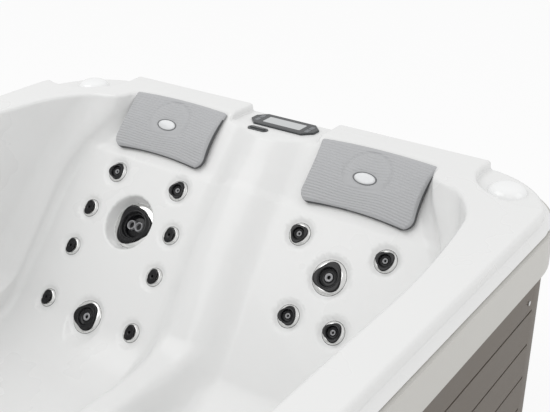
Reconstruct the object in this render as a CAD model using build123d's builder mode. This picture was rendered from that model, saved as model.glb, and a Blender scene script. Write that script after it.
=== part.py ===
"""Hot tub for four: moulded shell, cabinet, pillows, jets, topside controls and water works.

The frame is in millimetres, +Z up. +X is to the right and +Y is the control side, behind the two
seats with most jets. The origin is on the floor under the middle of the tub.
"""
from build123d import *
from math import asin, cos, radians, sin, tan
import os

os.makedirs("parts", exist_ok=True)

# Rim, lip and general heights
tub_height = 860.0
rim_half_x = 821.0
rim_half_y = 1046.0
rim_corner_radius = 240.0
rim_edge_radius = 9.0
rim_step = 21.0
shell_wall = 8.0
lip_wall_drop = 32.0
lip_flare = 18.0
lip_edge = 3.0

# Basin, seats and footwell
side_rim = 101.0
end_rim = 156.0
basin_corner_radius = 190.0
basin_taper = 6.0
ridge_rise = 42.0
arm_depth = 500.0
seat_x = 336.0
pillow_rim = 100.0
rear_back_angle = 48.5
front_back_angle = 62.0
seat_depth = 600.0
rear_pan = 330.0
front_pan = 300.0
seat_bend_radius = 80.0
niche_half = 174.0
niche_length = 80.0
seat_inner_half = 262.0
seat_outer_half = 304.0
seat_flare = 100.0
seat_corner_radius = 45.0
seat_taper = 2.0
footwell_half_x = 540.0
footwell_depth = 770.0
footwell_corner_radius = 90.0
footwell_taper = 5.0
cut_overlap = 20.0

# Control platform, corner floors and filter tower
platform_half = 147.0
recess_radius = 151.0
recess_inset_x = 71.0
recess_inset_y = 50.0
tower_half_x = 150.0
tower_depth = 200.0
tower_corner_radius = 50.0
filter_inset = 196.0
filter_well_radius = 100.0
filter_well_depth = 420.0
weir_half_x = 70.0
weir_top = 80.0
weir_height = 120.0
weir_wall = 8.0

# Cabinet and frame
trim_height = 96.0
trim_proud = 6.0
panel_thickness = 20.0
rail_thickness = 31.0
rail_inset = 9.0
top_rail_height = 150.0
base_rail_height = 60.0
post_width = 60.0
pan_floor = 8.0
pan_wall = 6.0
pan_height = 40.0
joint_gap = 0.3
screw_radius = 3.0
screw_head_radius = 6.0
screw_head_height = 3.0
screw_length = 30.0
groove_pitch = 96.0
groove_width = 6.0
groove_depth = 4.0

# Pillows
pillow_width = 326.0
pillow_length = 186.0
pillow_start = 6.0
pillow_middle = 23.0
pillow_edge = 12.0
pillow_corner = 38.0
stud_radius = 6.0
stud_grip = 8.0
stud_head_radius = 10.0
stud_head_height = 4.0
stud_spread = 105.0
badge_length = 58.0
badge_width = 27.0
badge_thickness = 1.5
badge_fit = 0.1

# Jets: outer diameter of the ring, bore in the shell, body depth behind the shell
jet_ring = {"s": 52.0, "m": 60.0, "l": 94.0, "xl": 138.0}
jet_bore = {"s": 18.0, "m": 21.0, "l": 33.0, "xl": 52.0}
jet_deep = {"s": 45.0, "m": 55.0, "l": 70.0, "xl": 80.0}
jet_nozzle = {"s": 3.5, "m": 6.0, "l": 9.0, "xl": 36.0}
lobe_waist = 0.76
lobe_corner = 0.36
pill_length = 42.0
pill_width = 27.0
jet_flange = 2.0
jet_ring_height = 4.0
jet_face_height = 3.5
jet_skirt_depth = 22.0
jet_thread = 2.5
jet_fit = 0.5
jet_nut_height = 9.0
jet_nut_margin = 7.0
dimple_depth = 30.0
dimple_top_radius = 90.0
dimple_floor_radius = 76.0
spinner_radius = 31.0
spinner_height = 15.0
spinner_shaft = 5.0
spinner_floor = 5.0
spinner_nozzle = 8.0
spinner_offset = 14.0

# Control panel, jets button and corner knobs
panel_length = 215.0
panel_width = 78.0
panel_nose = 26.0
panel_proud = 6.0
panel_y_inset = 56.0
panel_neck_inset = 9.0
panel_neck_gap = 1.0
display_length = 126.0
display_width = 42.0
display_thickness = 3.0
key_length = 13.0
key_width = 20.0
key_height = 4.0
key_travel = 1.0
key_inset = 85.0
key_spread = 12.0
oval_length = 66.0
oval_width = 24.0
oval_x = -46.0
oval_inset = 123.0
oval_travel = 3.0
oval_collar = 5.0
knob_radius = 48.0
knob_height = 20.0
knob_skirt = 6.0
knob_inset_x = 126.0
knob_inset_y = 115.0
knob_stem_radius = 12.0
valve_radius = 30.0
valve_depth = 95.0
valve_port_radius = 16.0

# Filter, suction, light and drain
lid_thickness = 6.0
lid_handle_width = 22.0
lid_handle_height = 5.0
lid_margin = 12.0
cartridge_pleats = 24
pleat_width = 3.0
pleat_depth = 6.0
cartridge_cap = 12.0
cartridge_radius = 76.0
cartridge_core_radius = 28.0
cartridge_height = 200.0
flap_thickness = 6.0
flap_pin_radius = 4.0
suction_radius = 62.0
suction_bore = 30.0
suction_x = 300.0
suction_height = 170.0
light_radius = 55.0
light_bore = 40.0
drain_radius = 20.0
drain_height = 22.0

# Pump, heater, control box and pipes
pump_x = 330.0
pump_y = 790.0
pump_axis_height = 135.0
motor_radius = 82.0
motor_length = 260.0
wet_radius = 92.0
wet_length = 84.0
wet_wall = 10.0
port_radius = 25.0
port_bore = 20.0
shaft_radius = 9.0
shaft_fit = 0.05
impeller_radius = 62.0
impeller_height = 26.0
heater_radius = 38.0
heater_length = 380.0
control_box_size = (360.0, 130.0, 230.0)
heater_inset = 120.0
heater_foot = 20.0
suction_tail = 30.0
header_rise = 110.0
header_wall = 5.0
pipe_bend = 55.0
pipe_lead = 90.0
support_size = 120.0

# Places and levels that follow from the sizes above
rim_top = tub_height
low_plane = rim_top - rim_step
plate_under = low_plane - shell_wall
lip_drop = lip_wall_drop + lip_flare + lip_edge
niche_y = rim_half_y - pillow_rim
basin_half_x = rim_half_x - side_rim
basin_half_y = rim_half_y - end_rim
pan_level = rim_top - seat_depth
arm_level = rim_top - arm_depth
floor_level = rim_top - footwell_depth
rear_pan_y = niche_y - seat_depth / tan(radians(rear_back_angle))
front_pan_y = -niche_y + seat_depth / tan(radians(front_back_angle))
rear_edge_y = rear_pan_y - rear_pan
front_edge_y = front_pan_y + front_pan
filter_y = -(rim_half_y - filter_inset)
tower_face_y = -basin_half_y + tower_depth
rail_half_x = rim_half_x - rail_inset
rail_half_y = rim_half_y - rail_inset
rail_radius = rim_corner_radius - rail_inset
trim_top = rim_top - lip_drop
trim_bottom = trim_top - trim_height
high = 1200.0

# Jets of each seat: size, distance from the seat's middle, distance down its back from the rim,
# and the way that its face is turned at rest, in degrees
seat_jets = {
    "rear_left": [
        ("m", -118, 268, 180), ("m", 118, 268, 180), ("xl", 0, 401, 90),
        ("s", -157, 397, 90), ("s", 157, 397, 90), ("s", -161, 523, 90), ("s", 161, 523, 90),
        ("s", -165, 690, 90), ("s", 165, 690, 90), ("l", 0, 697, 180),
    ],
    "rear_right": [
        ("m", -129, 280, 0), ("m", 129, 280, 0), ("l", 0, 365, 90),
        ("m", -68, 493, 180), ("m", 68, 493, 180),
    ],
    "front_left": [("m", 0, 270, 90)],
    "front_right": [("m", 0, 270, 90)],
}


def save(builder, name):
    """Label a finished piece and write its file."""
    builder.part.label = name
    export_step(builder.part, f"parts/{name}.step")


def seat_plane(seat):
    """The back of a seat: origin on the rim's inner edge, local +Y up the slope, +Z to the water."""
    x = seat_x if seat.endswith("right") else -seat_x
    if seat.startswith("rear"):
        lean = radians(rear_back_angle)
        return Plane(origin=(x, niche_y, rim_top), x_dir=(1, 0, 0), z_dir=(0, -sin(lean), cos(lean)))
    lean = radians(front_back_angle)
    return Plane(origin=(x, -niche_y, rim_top), x_dir=(-1, 0, 0), z_dir=(0, sin(lean), cos(lean)))


def jet_plane(seat, size, across, down, turn=0):
    """The face on which a jet's flange sits."""
    sunk = -dimple_depth if size == "xl" else 0.0
    back = seat_plane(seat)
    return Plane(origin=back.from_local_coords((across, -down, sunk)), x_dir=back.x_dir, z_dir=back.z_dir)


def all_jets():
    """Every jet with its seat, as (seat, size, across, down, turn)."""
    return [(seat, *jet) for seat, jets in seat_jets.items() for jet in jets]


def rounded_block(half_x, half_y, radius, low, top):
    """A solid with the tub's rounded plan, between two heights."""
    with BuildPart(mode=Mode.PRIVATE) as block:
        with BuildSketch(Plane.XY.offset(low)):
            RectangleRounded(2 * half_x, 2 * half_y, radius)
        extrude(amount=top - low)
    return block.part


def basin_space(grow):
    """The open space over the seats, down to arm height; grow adds the wall around it."""
    rear_run = arm_depth / tan(radians(rear_back_angle))
    front_run = arm_depth / tan(radians(front_back_angle))
    rise = rim_step + cut_overlap
    top = rim_top if grow else rim_top + cut_overlap
    half_x = basin_half_x + grow
    half_y = basin_half_y + grow
    with BuildPart(mode=Mode.PRIVATE) as space:
        with BuildSketch(Plane.XY.offset(rim_top)):
            RectangleRounded(2 * half_x, 2 * half_y, basin_corner_radius + grow)
        extrude(amount=-(arm_depth + grow), taper=basin_taper)
        if not grow:
            with BuildSketch(Plane.XY.offset(rim_top)):
                RectangleRounded(2 * half_x, 2 * half_y, basin_corner_radius)
            extrude(amount=cut_overlap)
        with BuildSketch(Plane.YZ):
            with BuildLine():
                Polyline(
                    (basin_half_y + rise / tan(radians(rear_back_angle)), rim_top + rise),
                    (basin_half_y - rear_run, arm_level),
                    (-basin_half_y + front_run, arm_level),
                    (-basin_half_y - rise / tan(radians(front_back_angle)), rim_top + rise),
                    close=True,
                )
            make_face()
            if grow:
                offset(amount=grow)
        extrude(amount=high, both=True, mode=Mode.INTERSECT)
        with BuildSketch(Plane.XY.offset(arm_level - 2 * grow)):
            with Locations((0, tower_face_y - tower_depth)):
                RectangleRounded(
                    2 * (tower_half_x - grow), 2 * (tower_depth - grow), tower_corner_radius - grow
                )
        extrude(amount=top - arm_level + 2 * grow, mode=Mode.SUBTRACT)
    return space.part


def seat_space(grow, back_angle, pan_y, edge_y):
    """The scoop of the right-hand seat, seen with its back towards +Y."""
    end_y = edge_y - cut_overlap
    flare_y = niche_y - niche_length
    rise = rim_step + cut_overlap
    outline = [
        (seat_x - niche_half - grow, niche_y + grow),
        (seat_x + niche_half + grow, niche_y + grow),
        (seat_x + niche_half + grow, flare_y),
        (seat_x + seat_outer_half + grow, flare_y - seat_flare),
        (seat_x + seat_outer_half + grow, end_y),
        (seat_x - seat_inner_half - grow, end_y),
        (seat_x - seat_inner_half - grow, flare_y - seat_flare),
        (seat_x - niche_half - grow, flare_y),
    ]
    with BuildPart(mode=Mode.PRIVATE) as space:
        with BuildSketch(Plane.XY.offset(rim_top)) as plan:
            with BuildLine():
                Polyline(*outline, close=True)
            make_face()
            soft = [v for v in plan.vertices() if end_y + 1 < v.Y < niche_y - 1]
            fillet(soft, radius=seat_corner_radius)
        extrude(amount=-(seat_depth + grow), taper=seat_taper)
        if not grow:
            extrude(plan.sketch, amount=cut_overlap)
        with BuildSketch(Plane.YZ) as side:
            with BuildLine():
                Polyline(
                    (niche_y + rise / tan(radians(back_angle)), rim_top + rise),
                    (pan_y, pan_level),
                    (end_y - cut_overlap, pan_level),
                    (end_y - cut_overlap, rim_top + rise),
                    close=True,
                )
            make_face()
            fillet(side.vertices().group_by(Axis.Y)[0].sort_by(Axis.X)[-1], radius=seat_bend_radius)
            if grow:
                offset(amount=grow)
        extrude(amount=high, both=True, mode=Mode.INTERSECT)
    return space.part


def footwell_space(grow):
    """The deep middle where feet go."""
    middle = (rear_edge_y + front_edge_y) / 2
    with BuildPart(mode=Mode.PRIVATE) as space:
        with BuildSketch(Plane.XY.offset(arm_level)):
            with Locations((0, middle)):
                RectangleRounded(
                    2 * (footwell_half_x + grow), rear_edge_y - front_edge_y + 2 * grow,
                    footwell_corner_radius + grow,
                )
        extrude(amount=-(arm_level - floor_level + grow), taper=footwell_taper)
    return space.part


def filter_space(grow):
    """The filter well and the weir tunnel that lets water into it."""
    top = rim_top if grow else rim_top + cut_overlap
    tunnel_start = filter_y + filter_well_radius / 2
    with BuildPart(mode=Mode.PRIVATE) as space:
        with BuildSketch(Plane.XY.offset(rim_top - filter_well_depth - grow)):
            with Locations((0, filter_y)):
                Circle(filter_well_radius + grow)
        extrude(amount=top - (rim_top - filter_well_depth - grow))
        with BuildSketch(Plane.XZ.offset(-tunnel_start)):
            with Locations((0, rim_top - weir_top - weir_height / 2)):
                Rectangle(2 * (weir_half_x + grow), weir_height + 2 * grow)
        reach = tower_face_y - tunnel_start
        extrude(amount=-(reach if grow else reach + cut_overlap * 2))
    return space.part


def all_spaces(grow):
    """Every hollow of the shell, fused."""
    rear = seat_space(grow, rear_back_angle, rear_pan_y, rear_edge_y)
    front = seat_space(grow, front_back_angle, -front_pan_y, -front_edge_y)
    front = Rot(0, 0, 180) * front
    with BuildPart(mode=Mode.PRIVATE) as spaces:
        add(basin_space(grow))
        add(footwell_space(grow))
        for seat in (rear, front):
            add(seat)
            add(seat.mirror(Plane.YZ))
        add(filter_space(grow))
    return spaces.part


def make_shell():
    """The moulded shell: rim, lip, seats and footwell in one wall, with its holes."""
    rim = rounded_block(rim_half_x, rim_half_y, rim_corner_radius, rim_top - lip_wall_drop, rim_top)
    under = rounded_block(
        rim_half_x - shell_wall, rim_half_y - shell_wall, rim_corner_radius - shell_wall,
        rim_top - lip_drop, plate_under,
    )
    with BuildPart() as shell:
        add(rim)
        fillet(shell.edges().group_by(Axis.Z)[-1], radius=rim_edge_radius)
        with BuildSketch(Plane.XY.offset(rim_top - lip_wall_drop)):
            RectangleRounded(2 * rim_half_x, 2 * rim_half_y, rim_corner_radius)
        extrude(amount=-lip_flare, taper=-45)
        with BuildSketch(Plane.XY.offset(rim_top - lip_drop)):
            RectangleRounded(
                2 * (rim_half_x + lip_flare), 2 * (rim_half_y + lip_flare), rim_corner_radius + lip_flare
            )
        extrude(amount=lip_edge)
        add(under, mode=Mode.SUBTRACT)
        add(all_spaces(shell_wall))
        with Locations(*[jet_plane(*jet) for jet in all_jets() if jet[1] == "xl"]):
            Cylinder(
                dimple_top_radius, dimple_depth, align=(Align.CENTER, Align.CENTER, Align.MIN),
            )
            Cylinder(
                dimple_top_radius, shell_wall, align=(Align.CENTER, Align.CENTER, Align.MAX),
            )
        add(all_spaces(0), mode=Mode.SUBTRACT)
        with Locations(*[jet_plane(*jet) for jet in all_jets() if jet[1] == "xl"]):
            Cone(
                dimple_floor_radius, dimple_top_radius, dimple_depth,
                align=(Align.CENTER, Align.CENTER, Align.MIN), mode=Mode.SUBTRACT,
            )
        with BuildSketch(Plane.XY.offset(low_plane)):
            with Locations((0, rim_half_y)):
                Rectangle(2 * platform_half, 4 * end_rim)
            with Locations(*[(side * (rim_half_x - recess_inset_x), rim_half_y - recess_inset_y) for side in (-1, 1)]):
                Circle(recess_radius)
        extrude(amount=rim_step + cut_overlap, mode=Mode.SUBTRACT)
        for size, bore in jet_bore.items():
            places = [jet_plane(*jet) for jet in all_jets() if jet[1] == size]
            with Locations(*places):
                Cylinder(bore, 3 * shell_wall, mode=Mode.SUBTRACT)
        cut_topside_holes()
        cut_footwell_holes()
    save(shell, "shell")
    return shell


def cut_topside_holes():
    """Holes in the low plane for the control panel, the oval button and the two corner valves."""
    with BuildSketch(Plane.XY.offset(plate_under - shell_wall)) as holes:
        with Locations((0, rim_half_y - panel_y_inset)):
            add(panel_outline(panel_neck_inset - 2 * joint_gap))
        with Locations((oval_x, rim_half_y - oval_inset)):
            SlotOverall(oval_length - 2 * oval_collar, oval_width - 2 * oval_collar)
        with Locations(*knob_places()):
            Circle(knob_stem_radius + joint_gap)
    extrude(holes.sketch, amount=2 * shell_wall + rim_step, mode=Mode.SUBTRACT)
    lid_recess = lid_thickness + lid_handle_height
    with BuildSketch(Plane.XY.offset(rim_top - lid_recess)) as lid_seat:
        with Locations((0, filter_y)):
            Circle(filter_well_radius + lid_margin)
    extrude(lid_seat.sketch, amount=lid_recess + cut_overlap, mode=Mode.SUBTRACT)
    for seat in seat_jets:
        with Locations(*stud_planes(seat)):
            Cylinder(stud_radius + joint_gap, 4 * shell_wall, mode=Mode.SUBTRACT)


def cut_footwell_holes():
    """Bores in the footwell for the suction fittings, the lamp and the drain."""
    with Locations(*[suction_plane(side) for side in (-1, 1)]):
        Cylinder(suction_bore, 4 * shell_wall, mode=Mode.SUBTRACT)
    with Locations(light_plane()):
        Cylinder(light_bore, 4 * shell_wall, mode=Mode.SUBTRACT)
    with Locations((0, (rear_edge_y + front_edge_y) / 2, floor_level)):
        Cylinder(drain_radius, 4 * shell_wall, mode=Mode.SUBTRACT)


def footwell_wall_plane(x, height):
    """The rear footwell wall at one place, local +Z to the water."""
    lean = radians(footwell_taper)
    y = rear_edge_y - (arm_level - height) * tan(lean)
    return Plane(origin=(x, y, height), x_dir=(-1, 0, 0), z_dir=(0, -cos(lean), sin(lean)))


def suction_plane(side):
    return footwell_wall_plane(side * suction_x, suction_height)


def light_plane():
    return footwell_wall_plane(0, suction_height)


def knob_places():
    """Middles of the two corner knobs, in plan."""
    return [(side * (rim_half_x - knob_inset_x), rim_half_y - knob_inset_y) for side in (-1, 1)]


def panel_outline(inset):
    """Plan of the control panel: a long bar with pointed ends."""
    half = panel_length / 2 - inset
    side = panel_width / 2 - inset
    shoulder = half - panel_nose + inset / 2
    tip = side / 3
    with BuildSketch(mode=Mode.PRIVATE) as outline:
        with BuildLine():
            Polyline(
                (-half, tip), (-shoulder, side), (shoulder, side), (half, tip),
                (half, -tip), (shoulder, -side), (-shoulder, -side), (-half, -tip), close=True,
            )
        make_face()
    return outline.sketch


def stud_planes(seat):
    """Planes of a pillow's three studs, on the seat back."""
    back = seat_plane(seat)
    middle = -(pillow_start + pillow_length / 2)
    places = [(-stud_spread, middle), (0, middle), (stud_spread, middle)]
    return [Plane(origin=back.from_local_coords((x, y, 0)), x_dir=back.x_dir, z_dir=back.z_dir) for x, y in places]


def badge_plane(seat):
    """The underside of a pillow's badge, on the crown."""
    back = seat_plane(seat)
    middle = -(pillow_start + pillow_length / 2)
    floor = pillow_middle + badge_fit
    return Plane(origin=back.from_local_coords((0, middle, floor)), x_dir=back.x_dir, z_dir=back.z_dir)


def pillow_solid(seat):
    """A foam pillow: crowned along the slope, with round lower corners."""
    middle = -(pillow_start + pillow_length / 2)
    half_l = pillow_length / 2
    back = seat_plane(seat)
    with BuildPart(mode=Mode.PRIVATE) as pillow:
        with BuildSketch(back) as face:
            with Locations((0, middle)):
                Rectangle(pillow_width, pillow_length)
            low = face.vertices().group_by(Axis.Z)[0]
            fillet(low, radius=pillow_corner)
            upper = face.vertices().group_by(Axis.Z)[-1]
            fillet(upper, radius=pillow_corner / 3)
        extrude(amount=pillow_middle + pillow_edge)
        side_view = Plane(origin=back.from_local_coords((0, middle, 0)), x_dir=back.y_dir, z_dir=back.x_dir)
        with BuildSketch(side_view):
            with BuildLine():
                Polyline((half_l, pillow_edge), (half_l, joint_gap), (-half_l, joint_gap), (-half_l, pillow_edge))
                ThreePointArc((-half_l, pillow_edge), (0, pillow_middle), (half_l, pillow_edge))
            make_face()
        extrude(amount=pillow_width, both=True, mode=Mode.INTERSECT)
        with Locations(*stud_planes(seat)):
            Cylinder(
                stud_radius + joint_gap, stud_grip + joint_gap,
                align=(Align.CENTER, Align.CENTER, Align.MIN), mode=Mode.SUBTRACT,
            )
    return pillow.part


def make_pillows():
    """The two pillows of the control side, and the pair at the front seats."""
    for seat in ("rear_left", "rear_right"):
        with BuildPart() as pillow:
            add(pillow_solid(seat))
        save(pillow, f"pillow_{seat}")
    front_right = pillow_solid("front_right")
    with BuildPart() as pair:
        add(front_right)
        add(Pos(-2 * seat_x, 0, 0) * front_right)
    save(pair, "front_pillows")


def make_pillow_badges():
    """Blank oval inlays, one in the middle of each pillow."""
    with BuildPart() as badges:
        for seat in seat_jets:
            with BuildSketch(badge_plane(seat)):
                Ellipse(badge_length / 2, badge_width / 2)
            extrude(amount=badge_thickness)
    save(badges, "pillow_badges")


def make_pillow_studs():
    """Push-in studs: a shank through the shell into the pillow and a head behind the shell."""
    with BuildPart() as studs:
        for seat in seat_jets:
            with Locations(*stud_planes(seat)):
                Cylinder(stud_radius, stud_grip, align=(Align.CENTER, Align.CENTER, Align.MIN))
                Cylinder(stud_radius, shell_wall, align=(Align.CENTER, Align.CENTER, Align.MAX))
            with Locations(*[plane.offset(-shell_wall) for plane in stud_planes(seat)]):
                Cylinder(stud_head_radius, stud_head_height, align=(Align.CENTER, Align.CENTER, Align.MAX))
    save(studs, "pillow_studs")


def lobed_outline(radius, turn):
    """A soft three-cornered outline with one corner at the angle turn."""
    corners = [Vector(radius, 0).rotate(Axis.Z, turn + 120 * i) for i in range(3)]
    middles = [Vector(lobe_waist * radius, 0).rotate(Axis.Z, turn + 60 + 120 * i) for i in range(3)]
    with BuildSketch(mode=Mode.PRIVATE) as outline:
        with BuildLine():
            for i in range(3):
                ThreePointArc(corners[i], middles[i], corners[(i + 1) % 3])
        make_face()
        fillet(outline.vertices(), radius=lobe_corner * radius)
    return outline.sketch


def make_jet_bodies():
    """Jet bodies: a flange on the shell's face and a closed barrel behind it."""
    with BuildPart() as bodies:
        for jet in all_jets():
            size = jet[1]
            barrel = jet_bore[size] - jet_fit
            with Locations(jet_plane(*jet)):
                Cylinder(
                    jet_ring[size] / 2 - 1, jet_flange, align=(Align.CENTER, Align.CENTER, Align.MIN),
                )
                Cylinder(barrel, jet_deep[size], align=(Align.CENTER, Align.CENTER, Align.MAX))
                Cylinder(
                    barrel - jet_thread, jet_deep[size] - jet_thread,
                    align=(Align.CENTER, Align.CENTER, Align.MAX), mode=Mode.SUBTRACT,
                )
                Cylinder(
                    barrel - jet_thread, jet_flange,
                    align=(Align.CENTER, Align.CENTER, Align.MIN), mode=Mode.SUBTRACT,
                )
    save(bodies, "jet_bodies")


def make_jet_nuts():
    """Nuts that clamp the jet bodies from behind the shell."""
    with BuildPart() as nuts:
        for jet in all_jets():
            size = jet[1]
            back = jet_plane(*jet)
            with BuildSketch(back.offset(-shell_wall)):
                RegularPolygon(jet_bore[size] + jet_nut_margin, 8)
                Circle(jet_bore[size] - jet_fit + joint_gap, mode=Mode.SUBTRACT)
            extrude(amount=-jet_nut_height)
    save(nuts, "jet_nuts")


def make_jet_rings():
    """Polished escutcheon rings on the flanges."""
    with BuildPart() as rings:
        for jet in all_jets():
            size = jet[1]
            base = jet_plane(*jet).offset(jet_flange)
            outer = jet_ring[size] / 2
            with BuildSketch(base):
                Circle(outer)
                Circle(jet_bore[size], mode=Mode.SUBTRACT)
            extrude(amount=jet_ring_height / 2)
            with BuildSketch(base.offset(jet_ring_height / 2)):
                Circle(outer)
                Circle(jet_bore[size], mode=Mode.SUBTRACT)
            extrude(amount=jet_ring_height / 2, taper=30)
    save(rings, "jet_rings")


def make_jet_face(name, jet):
    """A turning jet face: a plate over the ring and a skirt down in the barrel."""
    size = jet[1]
    base = jet_plane(*jet)
    skirt = jet_bore[size] - jet_fit - jet_thread - joint_gap
    plate_low = jet_flange + jet_ring_height + joint_gap
    with BuildPart() as face:
        with BuildSketch(base.offset(plate_low)):
            if size == "s":
                SlotOverall(pill_length, pill_width, rotation=jet[4])
            else:
                add(lobed_outline(jet_ring[size] / 2, jet[4]))
        extrude(amount=jet_face_height)
        with BuildSketch(base.offset(-jet_skirt_depth)):
            Circle(min(skirt, pill_width / 2) if size == "s" else skirt)
        extrude(amount=jet_skirt_depth + plate_low)
        with BuildSketch(base.offset(plate_low + jet_face_height)):
            Circle(jet_nozzle[size])
        extrude(amount=-(plate_low + jet_face_height + jet_skirt_depth - spinner_floor), mode=Mode.SUBTRACT)
        if size == "xl":
            with Locations(base):
                Cylinder(spinner_shaft + joint_gap, 4 * jet_skirt_depth, mode=Mode.SUBTRACT)
    save(face, name)


def make_jet_spinner(name, jet):
    """The turning double nozzle in the cup of the largest jet."""
    base = jet_plane(*jet)
    floor = -jet_skirt_depth + spinner_floor + joint_gap
    with BuildPart() as spinner:
        with BuildSketch(base.offset(floor)):
            Circle(spinner_radius)
        extrude(amount=spinner_height)
        with BuildSketch(base.offset(floor + spinner_height)):
            with Locations((-spinner_offset, 0), (spinner_offset, 0)):
                Circle(spinner_nozzle + 3)
        extrude(amount=4)
        with BuildSketch(base.offset(floor + spinner_height + 4)):
            with Locations((-spinner_offset, 0), (spinner_offset, 0)):
                Circle(spinner_nozzle)
        extrude(amount=-spinner_height, mode=Mode.SUBTRACT)
        with BuildSketch(base.offset(floor)):
            Circle(spinner_shaft)
        extrude(amount=-(spinner_floor + 4))
    save(spinner, name)


def make_control_panel():
    """The topside panel's housing, its display window and its four keys."""
    middle = (0, rim_half_y - panel_y_inset)
    face = low_plane + panel_proud
    with BuildPart() as housing:
        with BuildSketch(Plane.XY.offset(low_plane)):
            with Locations(middle):
                add(panel_outline(0))
        extrude(amount=panel_proud)
        chamfer(housing.edges().group_by(Axis.Z)[-1], length=1.5)
        with BuildSketch(Plane.XY.offset(low_plane)):
            with Locations(middle):
                add(panel_outline(panel_neck_inset))
        extrude(amount=-(shell_wall - panel_neck_gap))
        with BuildSketch(Plane.XY.offset(face)):
            with Locations(middle):
                RectangleRounded(display_length, display_width, 4)
        extrude(amount=-display_thickness, mode=Mode.SUBTRACT)
        with BuildSketch(Plane.XY.offset(face)):
            with Locations(*key_places()):
                RectangleRounded(key_length + 2 * joint_gap, key_width + 2 * joint_gap, 3)
        extrude(amount=-(key_height + key_travel), mode=Mode.SUBTRACT)
    save(housing, "control_panel")
    with BuildPart() as display:
        with BuildSketch(Plane.XY.offset(face - display_thickness)):
            with Locations(middle):
                RectangleRounded(display_length, display_width, 4)
        extrude(amount=display_thickness)
    save(display, "control_display")
    names = ["key_warm", "key_cool", "key_jets", "key_light"]
    for name, place in zip(names, key_places()):
        with BuildPart() as key:
            with BuildSketch(Plane.XY.offset(face - key_height + key_travel / 2)):
                with Locations(place):
                    RectangleRounded(key_length, key_width, 3 - joint_gap)
            extrude(amount=key_height)
            chamfer(key.edges().group_by(Axis.Z)[-1], length=0.6)
        save(key, name)


def key_places():
    """Plan places of the four keys, two at each end of the display."""
    y = rim_half_y - panel_y_inset
    return [(side * key_inset, y + row * key_spread) for side in (-1, 1) for row in (1, -1)]


def make_oval_button():
    """The oval jets button and the collar that it travels in."""
    place = (oval_x, rim_half_y - oval_inset)
    inner_l = oval_length - 2 * oval_collar
    inner_w = oval_width - 2 * oval_collar
    with BuildPart() as collar:
        with BuildSketch(Plane.XY.offset(low_plane)):
            with Locations(place):
                SlotOverall(oval_length, oval_width)
        extrude(amount=3)
        chamfer(collar.edges().group_by(Axis.Z)[-1], length=1.2)
        with BuildSketch(Plane.XY.offset(low_plane)):
            with Locations(place):
                SlotOverall(inner_l - 2 * joint_gap, inner_w - 2 * joint_gap)
        extrude(amount=-(shell_wall + 12))
        with BuildSketch(Plane.XY.offset(low_plane + 3)):
            with Locations(place):
                SlotOverall(inner_l - 4, inner_w - 4)
        extrude(amount=-(shell_wall + 3), mode=Mode.SUBTRACT)
    save(collar, "button_collar")
    with BuildPart() as button:
        with BuildSketch(Plane.XY.offset(low_plane + 3 + oval_travel - 8)):
            with Locations(place):
                SlotOverall(inner_l - 4 - 2 * joint_gap, inner_w - 4 - 2 * joint_gap)
        extrude(amount=8)
        chamfer(button.edges().group_by(Axis.Z)[-1], length=1.0)
    save(button, "jets_button")


def make_corner_knobs():
    """Domed diverter knobs in the corner recesses, and the valves under them."""
    names = ["diverter_knob_left", "diverter_knob_right"]
    cap_height = knob_height - knob_skirt
    cap_radius = (knob_radius**2 + cap_height**2) / (2 * cap_height)
    cap_angle = asin(knob_radius / cap_radius)
    cap_low = knob_height - cap_radius
    for name, place in zip(names, knob_places()):
        with BuildPart() as knob:
            with BuildSketch(Plane(origin=(*place, low_plane + joint_gap), x_dir=(1, 0, 0), z_dir=(0, -1, 0))):
                with BuildLine():
                    Polyline((0, knob_height), (0, 0), (knob_radius, 0), (knob_radius, knob_skirt))
                    ThreePointArc(
                        (knob_radius, knob_skirt),
                        (cap_radius * sin(cap_angle / 2), cap_radius * cos(cap_angle / 2) + cap_low),
                        (0, knob_height),
                    )
                make_face()
            revolve(axis=Axis(origin=(*place, 0), direction=(0, 0, 1)))
            with BuildSketch(Plane.XY.offset(low_plane + 1)):
                with Locations(place):
                    Circle(knob_stem_radius)
            extrude(amount=-(shell_wall + 12))
        save(knob, name)
    with BuildPart() as valves:
        for place in knob_places():
            with BuildSketch(Plane.XY.offset(plate_under)):
                with Locations(place):
                    Circle(valve_radius)
            extrude(amount=-valve_depth)
            with BuildSketch(Plane.XY.offset(plate_under)):
                with Locations(place):
                    Circle(knob_stem_radius + joint_gap)
            extrude(amount=-20, mode=Mode.SUBTRACT)
    save(valves, "diverter_valves")


def ring_solid(half_x, half_y, radius, thickness, low, top):
    """A closed band with the tub's rounded plan."""
    with BuildPart(mode=Mode.PRIVATE) as ring:
        with BuildSketch(Plane.XY.offset(low)):
            RectangleRounded(2 * half_x, 2 * half_y, radius)
            RectangleRounded(
                2 * (half_x - thickness), 2 * (half_y - thickness), radius - thickness, mode=Mode.SUBTRACT
            )
        extrude(amount=top - low)
    return ring.part


def make_trim():
    """The pale band under the lip."""
    with BuildPart() as trim:
        wide = rail_inset + lip_flare + trim_proud
        add(ring_solid(
            rail_half_x + wide, rail_half_y + wide, rail_radius + wide, wide, trim_bottom, trim_top,
        ))
    save(trim, "rim_trim")


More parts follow.
